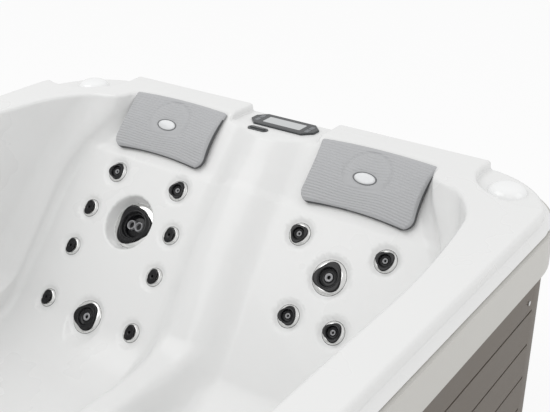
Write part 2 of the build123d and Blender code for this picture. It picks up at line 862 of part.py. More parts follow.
def make_frame():
    """Top and base rails, and the posts between them."""
    spans = [(plate_under - top_rail_height, plate_under), (pan_floor, pan_floor + base_rail_height)]
    with BuildPart() as rails:
        for bottom, top in spans:
            add(ring_solid(rail_half_x, rail_half_y, rail_radius, rail_thickness, bottom, top))
        drill_screw_holes()
    save(rails, "frame_rails")
    low = pan_floor + base_rail_height
    across = rail_thickness / 2
    with BuildPart() as posts:
        with BuildSketch(Plane.XY.offset(low)):
            with Locations(*[(sx * (rail_half_x - across), y) for sx in (-1, 1) for y in post_rows_y()]):
                Rectangle(rail_thickness, post_width)
            with Locations(*[(x, sy * (rail_half_y - across)) for sy in (-1, 1) for x in post_rows_x()]):
                Rectangle(post_width, rail_thickness)
        extrude(amount=plate_under - top_rail_height - low)
        drill_screw_holes()
    save(posts, "frame_posts")


def post_rows_y():
    """Post places along the long sides."""
    reach = rail_half_y - rail_radius - post_width / 2
    return [-reach, 0, reach]


def post_rows_x():
    """Post places along the short sides."""
    reach = rail_half_x - rail_radius - post_width / 2
    return [-reach, reach]


def side_panel(length):
    """One flat cabinet panel, lying in the XZ plane with its outside towards -Y, with shadow grooves."""
    low = pan_height + joint_gap
    top = trim_bottom - joint_gap
    with BuildPart(mode=Mode.PRIVATE) as panel:
        with BuildSketch(Plane.XY.offset(low)):
            with Locations((0, -panel_thickness / 2)):
                Rectangle(length, panel_thickness)
        extrude(amount=top - low)
        levels = [low + groove_pitch * i for i in range(1, int((top - low) / groove_pitch) + 1)]
        with BuildSketch(Plane.YZ):
            with Locations(*[(-panel_thickness, z) for z in levels if z < top - groove_pitch / 3]):
                Rectangle(2 * groove_depth, groove_width)
        extrude(amount=length, both=True, mode=Mode.SUBTRACT)
    return panel.part


def make_panels():
    """Four flat panels and the four corner covers."""
    length_x = 2 * (rail_half_x - rail_radius) - 2 * joint_gap
    length_y = 2 * (rail_half_y - rail_radius) - 2 * joint_gap
    sides = {
        "front_panel": [Pos(0, -rail_half_y, 0)],
        "rear_access_panel": [Pos(0, rail_half_y, 0) * Rot(0, 0, 180)],
        "side_panels": [Pos(-rail_half_x, 0, 0) * Rot(0, 0, -90), Pos(rail_half_x, 0, 0) * Rot(0, 0, 90)],
    }
    for name, places in sides.items():
        length = length_y if name == "side_panels" else length_x
        with BuildPart() as panel:
            for place in places:
                add(place * side_panel(length))
            drill_screw_holes()
        save(panel, name)
    low = pan_height + joint_gap
    top = trim_bottom - joint_gap
    with BuildPart() as corners:
        add(ring_solid(
            rail_half_x + panel_thickness, rail_half_y + panel_thickness, rail_radius + panel_thickness,
            panel_thickness, low, top,
        ))
        with BuildSketch(Plane.XY.offset(low)):
            Rectangle(2 * (rail_half_x - rail_radius), 3 * rail_half_y)
            Rectangle(3 * rail_half_x, 2 * (rail_half_y - rail_radius))
        extrude(amount=top - low, mode=Mode.SUBTRACT)
    save(corners, "corner_covers")


def screw_spots():
    """Panel screws: the place of each on the cabinet's face and the way it points out."""
    levels = [pan_height + base_rail_height, trim_bottom - base_rail_height]
    spots = []
    for side in (-1, 1):
        for z in levels:
            spots += [((side * (rail_half_x + panel_thickness), y, z), (side, 0, 0)) for y in post_rows_y()]
            spots += [((x, side * (rail_half_y + panel_thickness), z), (0, side, 0)) for x in post_rows_x()]
    return spots


def make_panel_screws():
    """Screws through the panels into the posts."""
    with BuildPart() as screws:
        for spot, out in screw_spots():
            with Locations(Plane(origin=spot, z_dir=out)):
                Cylinder(screw_head_radius, screw_head_height, align=(Align.CENTER, Align.CENTER, Align.MIN))
                Cylinder(screw_radius, screw_length, align=(Align.CENTER, Align.CENTER, Align.MAX))
    save(screws, "panel_screws")


def drill_screw_holes():
    """Clearance holes for the panel screws, cut in the piece being built."""
    for spot, out in screw_spots():
        with Locations(Plane(origin=spot, z_dir=out)):
            Cylinder(
                screw_radius + joint_gap, screw_length + joint_gap,
                align=(Align.CENTER, Align.CENTER, Align.MAX), mode=Mode.SUBTRACT,
            )


def make_base():
    """The base pan on the floor and the blocks that carry the footwell."""
    out_x = rail_half_x + panel_thickness
    out_y = rail_half_y + panel_thickness
    radius = rail_radius + panel_thickness
    with BuildPart() as pan:
        add(rounded_block(out_x, out_y, radius, 0, pan_floor))
        add(ring_solid(out_x, out_y, radius, pan_wall, pan_floor, pan_height))
    save(pan, "base_pan")
    middle = (rear_edge_y + front_edge_y) / 2
    spread_x = footwell_half_x - support_size
    spread_y = (rear_edge_y - front_edge_y) / 2 - support_size
    with BuildPart() as blocks:
        with BuildSketch(Plane.XY.offset(pan_floor)):
            with Locations((0, middle)):
                with GridLocations(2 * spread_x, 2 * spread_y, 2, 2):
                    Rectangle(support_size, support_size)
        extrude(amount=floor_level - shell_wall - pan_floor)
    save(blocks, "shell_supports")


def make_filter():
    """Filter lid, cartridge and the weir flap in the tunnel."""
    seat = rim_top - lid_thickness - lid_handle_height + joint_gap
    with BuildPart() as lid:
        with BuildSketch(Plane.XY.offset(seat)):
            with Locations((0, filter_y)):
                Circle(filter_well_radius + lid_margin - joint_gap)
        extrude(amount=lid_thickness)
        with BuildSketch(Plane.XY.offset(seat + lid_thickness)):
            with Locations((0, filter_y)):
                SlotOverall(1.5 * filter_well_radius, lid_handle_width)
        extrude(amount=lid_handle_height)
        fillet(lid.edges().group_by(Axis.Z)[-1], radius=2)
    save(lid, "filter_lid")
    floor = rim_top - filter_well_depth
    with BuildPart() as cartridge:
        with BuildSketch(Plane.XY.offset(floor)):
            with Locations((0, filter_y)):
                Circle(cartridge_radius)
                Circle(cartridge_core_radius, mode=Mode.SUBTRACT)
        extrude(amount=cartridge_height)
        with BuildSketch(Plane.XY.offset(floor + cartridge_cap)):
            with Locations((0, filter_y)):
                with PolarLocations(cartridge_radius, cartridge_pleats):
                    Rectangle(2 * pleat_depth, pleat_width)
        extrude(amount=cartridge_height - 2 * cartridge_cap, mode=Mode.SUBTRACT)
    save(cartridge, "filter_cartridge")
    pin_z = rim_top - weir_top - weir_height + flap_pin_radius + joint_gap
    pin_y = tower_face_y - 4 * flap_pin_radius
    flap_height = weir_height - 3 * flap_pin_radius
    with BuildPart() as flap:
        with BuildSketch(Plane.YZ.offset(-(weir_half_x - joint_gap))):
            with Locations((pin_y, pin_z)):
                Circle(flap_pin_radius)
            with Locations((pin_y, pin_z + flap_height / 2)):
                Rectangle(flap_thickness, flap_height)
        extrude(amount=2 * (weir_half_x - joint_gap))
    save(flap, "weir_flap")


def make_footwell_fittings():
    """Suction covers with their bodies, the lamp and the drain."""
    with BuildPart() as covers:
        for side in (-1, 1):
            base = suction_plane(side)
            with BuildSketch(base):
                Circle(suction_radius)
            extrude(amount=12)
            chamfer(covers.edges().filter_by(GeomType.CIRCLE).group_by(Axis.Y)[0], length=4)
            with BuildSketch(base):
                Circle(suction_bore - jet_fit)
            extrude(amount=-(shell_wall + suction_tail))
            with BuildSketch(base.offset(-(shell_wall + suction_tail))):
                Circle(port_bore)
            extrude(amount=shell_wall + suction_tail, mode=Mode.SUBTRACT)
            with BuildSketch(base.offset(14)):
                with PolarLocations(suction_radius * 0.42, 8):
                    Circle(5)
            extrude(amount=-14, mode=Mode.SUBTRACT)
    save(covers, "suction_covers")
    with BuildPart() as lamp:
        with BuildSketch(light_plane()):
            Circle(light_radius)
        extrude(amount=6)
        fillet(lamp.edges().filter_by(GeomType.CIRCLE).sort_by(Axis.Y)[0], radius=3)
        with BuildSketch(light_plane()):
            Circle(light_bore - jet_fit)
        extrude(amount=-(shell_wall + 25))
    save(lamp, "footwell_light")
    middle = (0, (rear_edge_y + front_edge_y) / 2)
    with BuildPart() as drain:
        with BuildSketch(Plane.XY.offset(floor_level)):
            with Locations(middle):
                Circle(drain_radius + 12)
        extrude(amount=3)
        with BuildSketch(Plane.XY.offset(floor_level)):
            with Locations(middle):
                Circle(drain_radius - jet_fit)
        extrude(amount=-(shell_wall + drain_height))
        with BuildSketch(Plane.XY.offset(floor_level + 3)):
            with Locations(middle):
                with PolarLocations(drain_radius / 2, 6):
                    Circle(3)
        extrude(amount=-(drain_height), mode=Mode.SUBTRACT)
    save(drain, "floor_drain")


def make_pump():
    """Jet pump: motor on its foot, wet end with two ports, and the rotor that turns in both."""
    axis_plane = Plane(origin=(pump_x, pump_y, pump_axis_height), x_dir=(0, 1, 0), z_dir=(1, 0, 0))
    with BuildPart() as motor:
        with BuildSketch(axis_plane):
            Circle(motor_radius)
            Circle(shaft_radius + shaft_fit, mode=Mode.SUBTRACT)
        extrude(amount=motor_length)
        with BuildSketch(Plane.XY.offset(pan_floor)):
            with Locations((pump_x + motor_length / 2, pump_y)):
                Rectangle(motor_length / 2, 1.4 * motor_radius)
        extrude(amount=pump_axis_height - pan_floor - motor_radius + 10)
        with BuildSketch(axis_plane.offset(motor_length / 6)):
            fins = 18
            with PolarLocations(motor_radius, fins):
                Rectangle(8, 3)
        extrude(amount=motor_length * 2 / 3)
        with BuildSketch(axis_plane):
            Circle(shaft_radius + shaft_fit)
        extrude(amount=motor_length, mode=Mode.SUBTRACT)
    save(motor, "pump_motor")
    with BuildPart() as wet:
        with BuildSketch(axis_plane):
            Circle(wet_radius)
        extrude(amount=-wet_length)
        with BuildSketch(axis_plane.offset(-wet_length)):
            Circle(port_radius)
        extrude(amount=-2 * port_radius)
        with BuildSketch(Plane.XY.offset(pump_axis_height)):
            with Locations((pump_x - wet_length / 2, pump_y)):
                Circle(port_radius)
        extrude(amount=wet_radius + port_radius)
        with BuildSketch(axis_plane.offset(-wet_wall)):
            Circle(wet_radius - wet_wall)
        extrude(amount=-(wet_length - 2 * wet_wall), mode=Mode.SUBTRACT)
        with BuildSketch(axis_plane.offset(-wet_length + wet_wall + 1)):
            Circle(port_bore)
        extrude(amount=-4 * port_radius, mode=Mode.SUBTRACT)
        with BuildSketch(Plane.XY.offset(pump_axis_height + wet_radius - wet_wall - 8)):
            with Locations((pump_x - wet_length / 2, pump_y)):
                Circle(port_bore)
        extrude(amount=4 * port_radius, mode=Mode.SUBTRACT)
        with BuildSketch(axis_plane):
            Circle(shaft_radius + shaft_fit)
        extrude(amount=-2 * wet_wall, mode=Mode.SUBTRACT)
    save(wet, "pump_wet_end")
    with BuildPart() as rotor:
        with BuildSketch(axis_plane.offset(-wet_length / 2)):
            Circle(shaft_radius)
        extrude(amount=wet_length / 2 + motor_length)
        with BuildSketch(axis_plane.offset(-wet_length / 2 - impeller_height / 2)):
            Circle(impeller_radius)
        extrude(amount=impeller_height)
    save(rotor, "pump_rotor")


def make_heater_and_box():
    """Electric heater tube on two feet, and the control box on the pan."""
    centre_z = pan_floor + heater_radius + heater_foot
    start_x = -pump_x - heater_length / 2
    with BuildPart() as heater:
        with BuildSketch(Plane.YZ.offset(start_x)):
            with Locations((pump_y - heater_inset, centre_z)):
                Circle(heater_radius)
                Circle(heater_radius - 3, mode=Mode.SUBTRACT)
        extrude(amount=heater_length)
        for x in (start_x + 60, start_x + heater_length - 90):
            with BuildSketch(Plane.XY.offset(pan_floor)):
                with Locations((x + 15, pump_y - heater_inset)):
                    Rectangle(30, 1.6 * heater_radius)
            extrude(amount=24)
            with BuildSketch(Plane.YZ.offset(x)):
                with Locations((pump_y - heater_inset, centre_z)):
                    Circle(heater_radius - 3)
            extrude(amount=30, mode=Mode.SUBTRACT)
    save(heater, "heater")
    size = control_box_size
    place = (-pump_x, rail_half_y - rail_thickness - size[1] / 2 - 20)
    with BuildPart() as box:
        with BuildSketch(Plane.XY.offset(pan_floor)):
            with Locations(place):
                RectangleRounded(size[0], size[1], 12)
        extrude(amount=size[2])
        fillet(box.edges().group_by(Axis.Z)[-1], radius=6)
    save(box, "control_box")


def pipe_run(points, bends):
    """A hollow pipe along straight runs joined by arcs."""
    with BuildPart(mode=Mode.PRIVATE) as pipe:
        with BuildLine() as route:
            FilletPolyline(*points, radius=bends)
        with BuildSketch(Plane(origin=route.line @ 0, z_dir=route.line % 0)):
            Circle(port_radius)
            Circle(port_bore, mode=Mode.SUBTRACT)
        sweep()
    return pipe.part


def suction_end(side):
    """Where a suction body ends behind the footwell wall, and a point straight on from there."""
    base = suction_plane(side)
    start = base.from_local_coords((0, 0, -(shell_wall + suction_tail)))
    onward = base.from_local_coords((0, 0, -(shell_wall + suction_tail + pipe_lead)))
    return start, onward


def make_pipes():
    """The jet header over the pump, and the suction, heater and return pipes."""
    port_x = pump_x - wet_length / 2
    top = pump_axis_height + wet_radius + port_radius
    header_z = top + header_rise
    left_x = -pump_x - heater_length / 2
    header_x = left_x + pipe_lead
    header_length = port_x + 2 * header_wall + port_radius - header_x
    with BuildPart(mode=Mode.PRIVATE) as header:
        with BuildSketch(Plane.XY.offset(top)):
            with Locations((port_x, pump_y)):
                Circle(port_radius)
        extrude(amount=header_rise)
        with BuildSketch(Plane.YZ.offset(header_x)):
            with Locations((pump_y, header_z)):
                Circle(port_radius + header_wall)
        extrude(amount=header_length)
        with BuildSketch(Plane.XY.offset(top)):
            with Locations((port_x, pump_y)):
                Circle(port_bore)
        extrude(amount=header_rise, mode=Mode.SUBTRACT)
        with BuildSketch(Plane.YZ.offset(header_x)):
            with Locations((pump_y, header_z)):
                Circle(port_radius)
        extrude(amount=header_length - header_wall, mode=Mode.SUBTRACT)
    inlet = (pump_x - wet_length - 2 * port_radius, pump_y, pump_axis_height)
    heater_y = pump_y - heater_inset
    heater_z = pan_floor + heater_radius + heater_foot
    right_x = left_x + heater_length
    with BuildPart() as pipes:
        add(header.part)
        start, onward = suction_end(1)
        knee_x = inlet[0] - 2 * pipe_bend
        add(pipe_run(
            [start, onward, (knee_x, (onward.Y + pump_y) / 2, pump_axis_height),
             (knee_x, pump_y, pump_axis_height), inlet], pipe_bend,
        ))
        start, onward = suction_end(-1)
        knee_x = right_x + 2 * pipe_bend
        add(pipe_run(
            [start, onward, (knee_x, (onward.Y + heater_y) / 2, heater_z),
             (knee_x, heater_y, heater_z), (right_x, heater_y, heater_z)], pipe_bend,
        ))
        far_x = left_x - 2 * pipe_bend
        add(pipe_run(
            [(left_x, heater_y, heater_z), (far_x, heater_y, heater_z), (far_x, pump_y, heater_z + pipe_lead),
             (far_x, pump_y, header_z), (header_x, pump_y, header_z)], pipe_bend,
        ))
    save(pipes, "water_pipes")


def make_jet_faces():
    """One turning face for each jet, named by its seat and its size."""
    counts = {}
    for jet in all_jets():
        seat, size = jet[0], jet[1]
        counts[(seat, size)] = counts.get((seat, size), 0) + 1
        name = f"jet_{seat}_{size}{counts[(seat, size)]}"
        make_jet_face(name, jet)
        if size == "xl":
            make_jet_spinner("jet_spinner", jet)


def main():
    make_shell()
    make_pillows()
    make_pillow_badges()
    make_pillow_studs()
    make_jet_bodies()
    make_jet_nuts()
    make_jet_rings()
    make_jet_faces()
    make_control_panel()
    make_oval_button()
    make_corner_knobs()
    make_trim()
    make_frame()
    make_panels()
    make_panel_screws()
    make_base()
    make_filter()
    make_footwell_fittings()
    make_pump()
    make_heater_and_box()
    make_pipes()


if __name__ == "__main__":
    main()
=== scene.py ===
import math

import bpy
import numpy as np
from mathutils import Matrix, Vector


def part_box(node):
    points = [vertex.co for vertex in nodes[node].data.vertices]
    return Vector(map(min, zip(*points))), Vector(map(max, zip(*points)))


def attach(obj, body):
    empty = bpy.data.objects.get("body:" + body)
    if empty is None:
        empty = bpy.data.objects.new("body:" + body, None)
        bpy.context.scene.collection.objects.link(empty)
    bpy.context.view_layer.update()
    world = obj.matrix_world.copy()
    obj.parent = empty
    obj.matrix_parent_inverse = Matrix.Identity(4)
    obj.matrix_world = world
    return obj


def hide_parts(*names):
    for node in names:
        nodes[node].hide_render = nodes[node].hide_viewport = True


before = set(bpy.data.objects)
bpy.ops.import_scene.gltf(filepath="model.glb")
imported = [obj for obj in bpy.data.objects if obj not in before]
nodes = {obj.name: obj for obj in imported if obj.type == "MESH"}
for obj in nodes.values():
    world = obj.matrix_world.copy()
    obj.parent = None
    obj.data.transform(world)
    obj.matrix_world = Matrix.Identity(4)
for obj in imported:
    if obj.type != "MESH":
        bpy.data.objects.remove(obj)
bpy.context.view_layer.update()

# Sizes shared with the solids, in millimetres
RIM_TOP = 860.0
RIM_HALF_X, RIM_HALF_Y, RIM_RADIUS = 821.0, 1046.0, 240.0
LOW_PLANE = 839.0
LIP_WALL, LIP_FLARE, LIP_EDGE, LIP_INSET = 32.0, 18.0, 3.0, 45.0
LIP_BOTTOM = RIM_TOP - LIP_WALL - LIP_FLARE - LIP_EDGE
ARM_LEVEL, PAN_LEVEL, FLOOR_LEVEL = 360.0, 260.0, 90.0
NICHE_Y = 946.0
REAR_ANGLE, FRONT_ANGLE = math.radians(48.5), math.radians(62.0)
REAR_EDGE, FRONT_EDGE = 85.0, -327.0
SEAT_X = 336.0
FILTER_Y = -850.0
WELL_RADIUS, WELL_FLOOR = 100.0, 440.0
LID_RADIUS, LID_SEAT = 112.0, 849.0
TUNNEL_HALF_X, TUNNEL_LOW, TUNNEL_TOP = 70.0, 660.0, 780.0
TUNNEL_BACK, TUNNEL_MOUTH = -800.0, -670.0
RECESS_X, RECESS_Y, RECESS_RADIUS = 750.0, 996.0, 151.0
PLATFORM_HALF_X, PLATFORM_Y = 147.0, 700.0

# Forms of the moulded shell. A slanting edge is (share of x, share of y, distance).
BASIN_HALF_X, BASIN_END = 722.0, 890.0
BASIN_LEAN = (0.9795, 0.2013, 813.1)
BASIN_CORNER = (0.4905, 0.8711, 1030.6)
NICHE_HALF_X, NICHE_DEPTH = 510.0, 60.0
SEAT_HALF_X, SEAT_OVERLAP = 640.0, 40.0
SEAT_FLARE = (0.684, 0.7295, 299.1)
FOOT_HALF_X, FOOT_CORNER, FOOT_TOP = 540.0, 90.0, 700.0
TOWER_HALF_X, TOWER_HALF_Y, TOWER_CORNER = 150.0, 200.0, 50.0
BASIN_DRAFT, SEAT_DRAFT, FOOT_DRAFT = (math.tan(math.radians(a)) for a in (6.0, 2.0, 5.0))

# Ridge between the rear seats by the distance down the back: crest, height and the two flanks' widths
RIDGE_S = np.array([0.0, 120.0, 260.0, 420.0, 560.0, 700.0, 900.0])
RIDGE_X = np.array([-5.0, -8.0, -14.0, -12.0, 2.0, 12.0, 12.0])
RIDGE_H = np.array([34.0, 34.0, 40.0, 46.0, 52.0, 56.0, 56.0])
RIDGE_LEFT, RIDGE_RIGHT = 118.0, 150.0
FRONT_RIDGE_H, FRONT_RIDGE_W = 30.0, 150.0
PAN_RIDGE_H, PAN_RIDGE_TOP, PAN_RIDGE_W = 92.0, 22.0, 95.0

# Swell of the backs that the jets sit in: its height, where it starts down the back, and at the sides
SWELL = 5.0
SWELL_START, SWELL_FULL = 192.0, 222.0
SWELL_SIDE, SWELL_SIDE_FULL = 300.0, 240.0

# Radii of the soft joins between the shell's forms
JOIN = {
    "basin_lean": 40.0, "basin_corner": 90.0, "basin_end": 60.0, "basin_back": 60.0, "basin_floor": 45.0,
    "flare": 60.0, "niche": 30.0, "pan": 80.0, "seat_side": 26.0, "foot_floor": 40.0, "seats": 5.0,
    "foot": 22.0, "basin": 18.0, "tower": 30.0, "tunnel_corner": 12.0, "well": 3.0, "tunnel": 7.0,
    "platform": 8.0, "low_floor": 5.0, "low": 7.0, "rim": 9.0, "lip": 1.5, "rim_inside": 11.0, "dimple": 2.0,
}

# Jets: ring and bore diameters, depth of the seat, width of the dimple's edge
RING = {"s": 52.0, "m": 60.0, "l": 94.0, "xl": 138.0}
BORE = {"s": 18.0, "m": 21.0, "l": 33.0, "xl": 52.0}
SUNK = {"s": 0.0, "m": 0.0, "l": 0.0, "xl": -30.0}
DIMPLE_EDGE = {"s": 16.0, "m": 16.0, "l": 16.0, "xl": 14.0}
DIMPLE_GAP, DIMPLE_SLOPE, DIMPLE_REACH = 1.0, 0.7, 60.0
NEAR_JET = 260.0
# By seat: size, place across the back, place down the back, turn of the face in degrees
SEAT_JETS = {
    "rear_left": [
        ("m", -118, 268, 67), ("m", 118, 268, 67), ("xl", 0, 401, 8),
        ("s", -157, 397, 90), ("s", 157, 397, 90), ("s", -161, 523, 90), ("s", 161, 523, 90),
        ("s", -165, 690, 90), ("s", 165, 690, 90), ("l", 0, 697, 67),
    ],
    "rear_right": [
        ("m", -129, 280, 27), ("m", 129, 280, 43), ("l", 0, 365, 78),
        ("m", -68, 493, 75), ("m", 68, 493, 60),
    ],
    "front_left": [("m", 0, 270, 90)],
    "front_right": [("m", 0, 270, 90)],
}

# Surface net: its bounds, the size of a cell and the cells in a block
NET_LOW, NET_HIGH = (-850, -1075, 60), (850, 1075, 872)
STEP, BLOCK = 6.5, 4
CORNERS = [(i, j, k) for i in (0, 1) for j in (0, 1) for k in (0, 1)]
# What is left out of it: below the lip's underside, under the jets' rings and round the filter lid
LIP_MARGIN, LIP_BAND, RING_MARGIN = 3.0, 60.0, 6.0
LID_MARGIN, WELL_MARGIN, TUNNEL_MARGIN = 6.0, 20.0, 12.0

# Points around the turned pieces
SEAT_SIDES, RING_SIDES, FACE_SIDES, NOZZLE_SIDES, BADGE_SIDES, KNOB_SIDES = 96, 64, 72, 48, 64, 72


# Mesh helpers
def mesh_object(name, points, faces, materials, slots=None, smooth=True, normals=None):
    """A mesh from points in metres, with a material number per face where slots is given."""
    mesh = bpy.data.meshes.new(name)
    mesh.from_pydata(np.asarray(points, float).tolist(), [],
                     faces.tolist() if isinstance(faces, np.ndarray) else faces)
    mesh.update()
    obj = bpy.data.objects.new(name, mesh)
    bpy.context.scene.collection.objects.link(obj)
    if smooth:
        mesh.polygons.foreach_set("use_smooth", [True] * len(mesh.polygons))
    if normals is not None:
        mesh.normals_split_custom_set_from_vertices(np.asarray(normals, float).tolist())
    for material in materials:
        mesh.materials.append(material)
    if slots is not None:
        mesh.polygons.foreach_set("material_index", slots)
    return obj


def grid_faces(rows, cols, wrap=False):
    """Quads of a rows by cols grid of points, closed around the columns where wrap is true."""
    faces = []
    for r in range(rows - 1):
        for c in range(cols if wrap else cols - 1):
            d = (c + 1) % cols
            faces.append((r * cols + c, r * cols + d, (r + 1) * cols + d, (r + 1) * cols + c))
    return faces


def stacked(parts):
    """One set of points, faces and material numbers from several."""
    points, faces, slots = [], [], []
    first = 0
    for part_points, part_faces, part_slots in parts:
        points.append(part_points)
        faces += [tuple(i + first for i in face) for face in part_faces]
        slots += part_slots
        first += len(part_points)
    return np.concatenate(points), faces, slots


def turned(profile, sides, bands, outline=None):
    """A surface of revolution around Z, as points, faces and material numbers.

    A profile entry is (radius, height) or (radius, height, share of the outline), and bands gives
    (number of bands, material number) from the first entry on."""
    angles = np.arange(sides) * 2 * math.pi / sides
    rings = []
    for radius, height, *share in profile:
        r = np.full(sides, radius)
        if share:
            r = r * ((1 - share[0]) + share[0] * outline(angles))
        rings.append(np.stack([r * np.cos(angles), r * np.sin(angles), np.full(sides, height)], 1))
    slots = [number for count, number in bands for _ in range(count * sides)]
    return np.concatenate(rings), grid_faces(len(profile), sides, wrap=True), slots


# Rounded joins of distance fields, which are negative inside
def join_max(a, b, r):
    """What two fields share, with an edge of radius r."""
    u = np.maximum(r + a, 0)
    v = np.maximum(r + b, 0)
    return np.minimum(-r, np.maximum(a, b)) + np.sqrt(u * u + v * v)


def join_min(a, b, r):
    """Both fields together, with a corner of radius r."""
    return -join_max(-a, -b, r)


def rounded_rect(x, y, half_x, half_y, r):
    qx = np.abs(x) - half_x + r
    qy = np.abs(y) - half_y + r
    outside = np.sqrt(np.maximum(qx, 0) ** 2 + np.maximum(qy, 0) ** 2)
    return np.minimum(np.maximum(qx, qy), 0) + outside - r


def ease(t):
    """0 up to 0, 1 from 1 on, soft at both ends."""
    t = np.clip(t, 0, 1)
    return t * t * (3 - 2 * t)


def smoothstep(a, b, t):
    """0 at a, 1 at b, soft at both ends."""
    return ease((t - a) / (b - a))


def bump(t):
    """1 at 0, 0 beyond 1 on either side, soft at both."""
    return 1 - ease(np.abs(t))


# Field of the moulded shell
def basin_plan(x, y):
    """Plan of the basin's edge: long sides that lean in towards the ends, and soft corners."""
    ax, ay = np.abs(x), np.abs(y)
    lean = BASIN_LEAN[0] * ax + BASIN_LEAN[1] * ay - BASIN_LEAN[2]
    corner = BASIN_CORNER[0] * ax + BASIN_CORNER[1] * ay - BASIN_CORNER[2]
    edge = join_max(ax - BASIN_HALF_X, lean, JOIN["basin_lean"])
    edge = join_max(edge, corner, JOIN["basin_corner"])
    return join_max(edge, ay - BASIN_END, JOIN["basin_end"])


def seat_plan(x, y, edge_y):
    """Plan of a pair of seats: the narrow niche of the pillow, flared to the seat's full width."""
    ax = np.abs(x)
    niche = ax - NICHE_HALF_X
    flare = SEAT_FLARE[0] * ax + SEAT_FLARE[1] * (y - NICHE_Y) - SEAT_FLARE[2]
    wide = join_max(ax - SEAT_HALF_X, flare, JOIN["flare"])
    plan = join_min(niche, wide, JOIN["niche"])
    return np.maximum(np.maximum(plan, y - NICHE_Y - NICHE_DEPTH), edge_y - SEAT_OVERLAP - y)


def seat_void(x, y, z, angle, edge_y, rear):
    """The void of a pair of seats whose back faces -Y; the caller turns x and y for the front pair."""
    sin_a, cos_a = math.sin(angle), math.cos(angle)
    down = (NICHE_Y - y) * cos_a + (RIM_TOP - z) * sin_a
    back = (y - NICHE_Y) * sin_a - (z - RIM_TOP) * cos_a
    if rear:
        off = x - np.interp(down, RIDGE_S, RIDGE_X)
        width = np.where(off < 0, RIDGE_LEFT, RIDGE_RIGHT)
        back = back + np.interp(down, RIDGE_S, RIDGE_H) * bump(off / width)
    else:
        back = back + FRONT_RIDGE_H * bump(x / FRONT_RIDGE_W)
    pan = PAN_LEVEL + PAN_RIDGE_H * bump((np.abs(x) - PAN_RIDGE_TOP).clip(0) / PAN_RIDGE_W) - z
    back = back + SWELL * smoothstep(SWELL_START, SWELL_FULL, down) * smoothstep(
        SEAT_X + SWELL_SIDE, SEAT_X + SWELL_SIDE_FULL, np.abs(x))
    body = join_max(back, pan, JOIN["pan"])
    side = seat_plan(x, y, edge_y) + (RIM_TOP - z) * SEAT_DRAFT
    return join_max(body, side, JOIN["seat_side"])


def basin_void(x, y, z):
    """The shallow basin over all seats, down to the arms."""
    basin = basin_plan(x, y) + np.maximum(RIM_TOP - z, 0) * BASIN_DRAFT
    for toward, angle in ((y, REAR_ANGLE), (-y, FRONT_ANGLE)):
        slope = (toward - BASIN_END) * math.sin(angle) - (z - RIM_TOP) * math.cos(angle)
        basin = join_max(basin, slope, JOIN["basin_back"])
    return join_max(basin, ARM_LEVEL - z, JOIN["basin_floor"])


def foot_void(x, y, z):
    """The footwell between the two pairs of seats."""
    middle, half_y = (REAR_EDGE + FRONT_EDGE) / 2, (REAR_EDGE - FRONT_EDGE) / 2
    foot = rounded_rect(x, y - middle, FOOT_HALF_X, half_y, FOOT_CORNER)
    foot = foot + np.maximum(ARM_LEVEL - z, 0) * FOOT_DRAFT
    foot = join_max(foot, FLOOR_LEVEL - z, JOIN["foot_floor"])
    return np.maximum(foot, z - FOOT_TOP)


def low_void(x, y, z):
    """The lowered parts of the rim: the panel's platform and the round recesses of the knobs."""
    low = join_max(np.abs(x) - PLATFORM_HALF_X, PLATFORM_Y - y, JOIN["platform"])
    for side in (-1, 1):
        low = np.minimum(low, np.hypot(x - side * RECESS_X, y - RECESS_Y) - RECESS_RADIUS)
    return join_max(low, LOW_PLANE - z, JOIN["low_floor"])


def surface(x, y, z):
    """Field of the moulded shell taken as filled below."""
    rear = seat_void(x, y, z, REAR_ANGLE, REAR_EDGE, True)
    front = seat_void(-x, -y, z, FRONT_ANGLE, -FRONT_EDGE, False)
    void = join_min(rear, front, JOIN["seats"])
    void = join_min(void, foot_void(x, y, z), JOIN["foot"])
    void = join_min(void, basin_void(x, y, z), JOIN["basin"])
    tower = rounded_rect(x, y + BASIN_END, TOWER_HALF_X, TOWER_HALF_Y, TOWER_CORNER)
    void = join_max(void, -tower, JOIN["tower"])
    well = np.maximum(np.hypot(x, y - FILTER_Y) - WELL_RADIUS, WELL_FLOOR - z)
    tunnel = join_max(np.abs(x) - TUNNEL_HALF_X, np.maximum(TUNNEL_LOW - z, z - TUNNEL_TOP),
                      JOIN["tunnel_corner"])
    tunnel = np.maximum(tunnel, np.maximum(TUNNEL_BACK - y, y - TUNNEL_MOUTH))
    void = join_min(void, well, JOIN["well"])
    void = join_min(void, tunnel, JOIN["tunnel"])
    void = join_min(void, low_void(x, y, z), JOIN["low"])
    outer = rounded_rect(x, y, RIM_HALF_X, RIM_HALF_Y, RIM_RADIUS)
    outer = outer - np.clip(RIM_TOP - LIP_WALL - z, 0, LIP_FLARE)
    solid = join_max(z - RIM_TOP, outer, JOIN["rim"])
    solid = join_max(solid, np.minimum(LIP_BOTTOM - z, outer + LIP_INSET), JOIN["lip"])
    return join_max(solid, -void, JOIN["rim_inside"])


# Places of the jets
def seat_frame(seat):
    """Origin, across, up-slope and outward directions of a seat back, in millimetres."""
    side = 1 if seat.endswith("right") else -1
    if seat.startswith("rear"):
        a = REAR_ANGLE
        return (np.array([side * SEAT_X, NICHE_Y, RIM_TOP]), np.array([1.0, 0, 0]),
                np.array([0, math.cos(a), math.sin(a)]), np.array([0, -math.sin(a), math.cos(a)]))
    a = FRONT_ANGLE
    return (np.array([side * SEAT_X, -NICHE_Y, RIM_TOP]), np.array([-1.0, 0, 0]),
            np.array([0, -math.cos(a), math.sin(a)]), np.array([0, math.sin(a), math.cos(a)]))


def named_jets():
    """Each jet as (name in the solids, seat, size, across, down, turn)."""
    seen = {}
    jets = []
    for seat, rows in SEAT_JETS.items():
        for size, across, down, turn in rows:
            seen[seat, size] = seen.get((seat, size), 0) + 1
            jets.append((f"{seat}_{size}{seen[seat, size]}", seat, size, across, down, turn))
    return jets


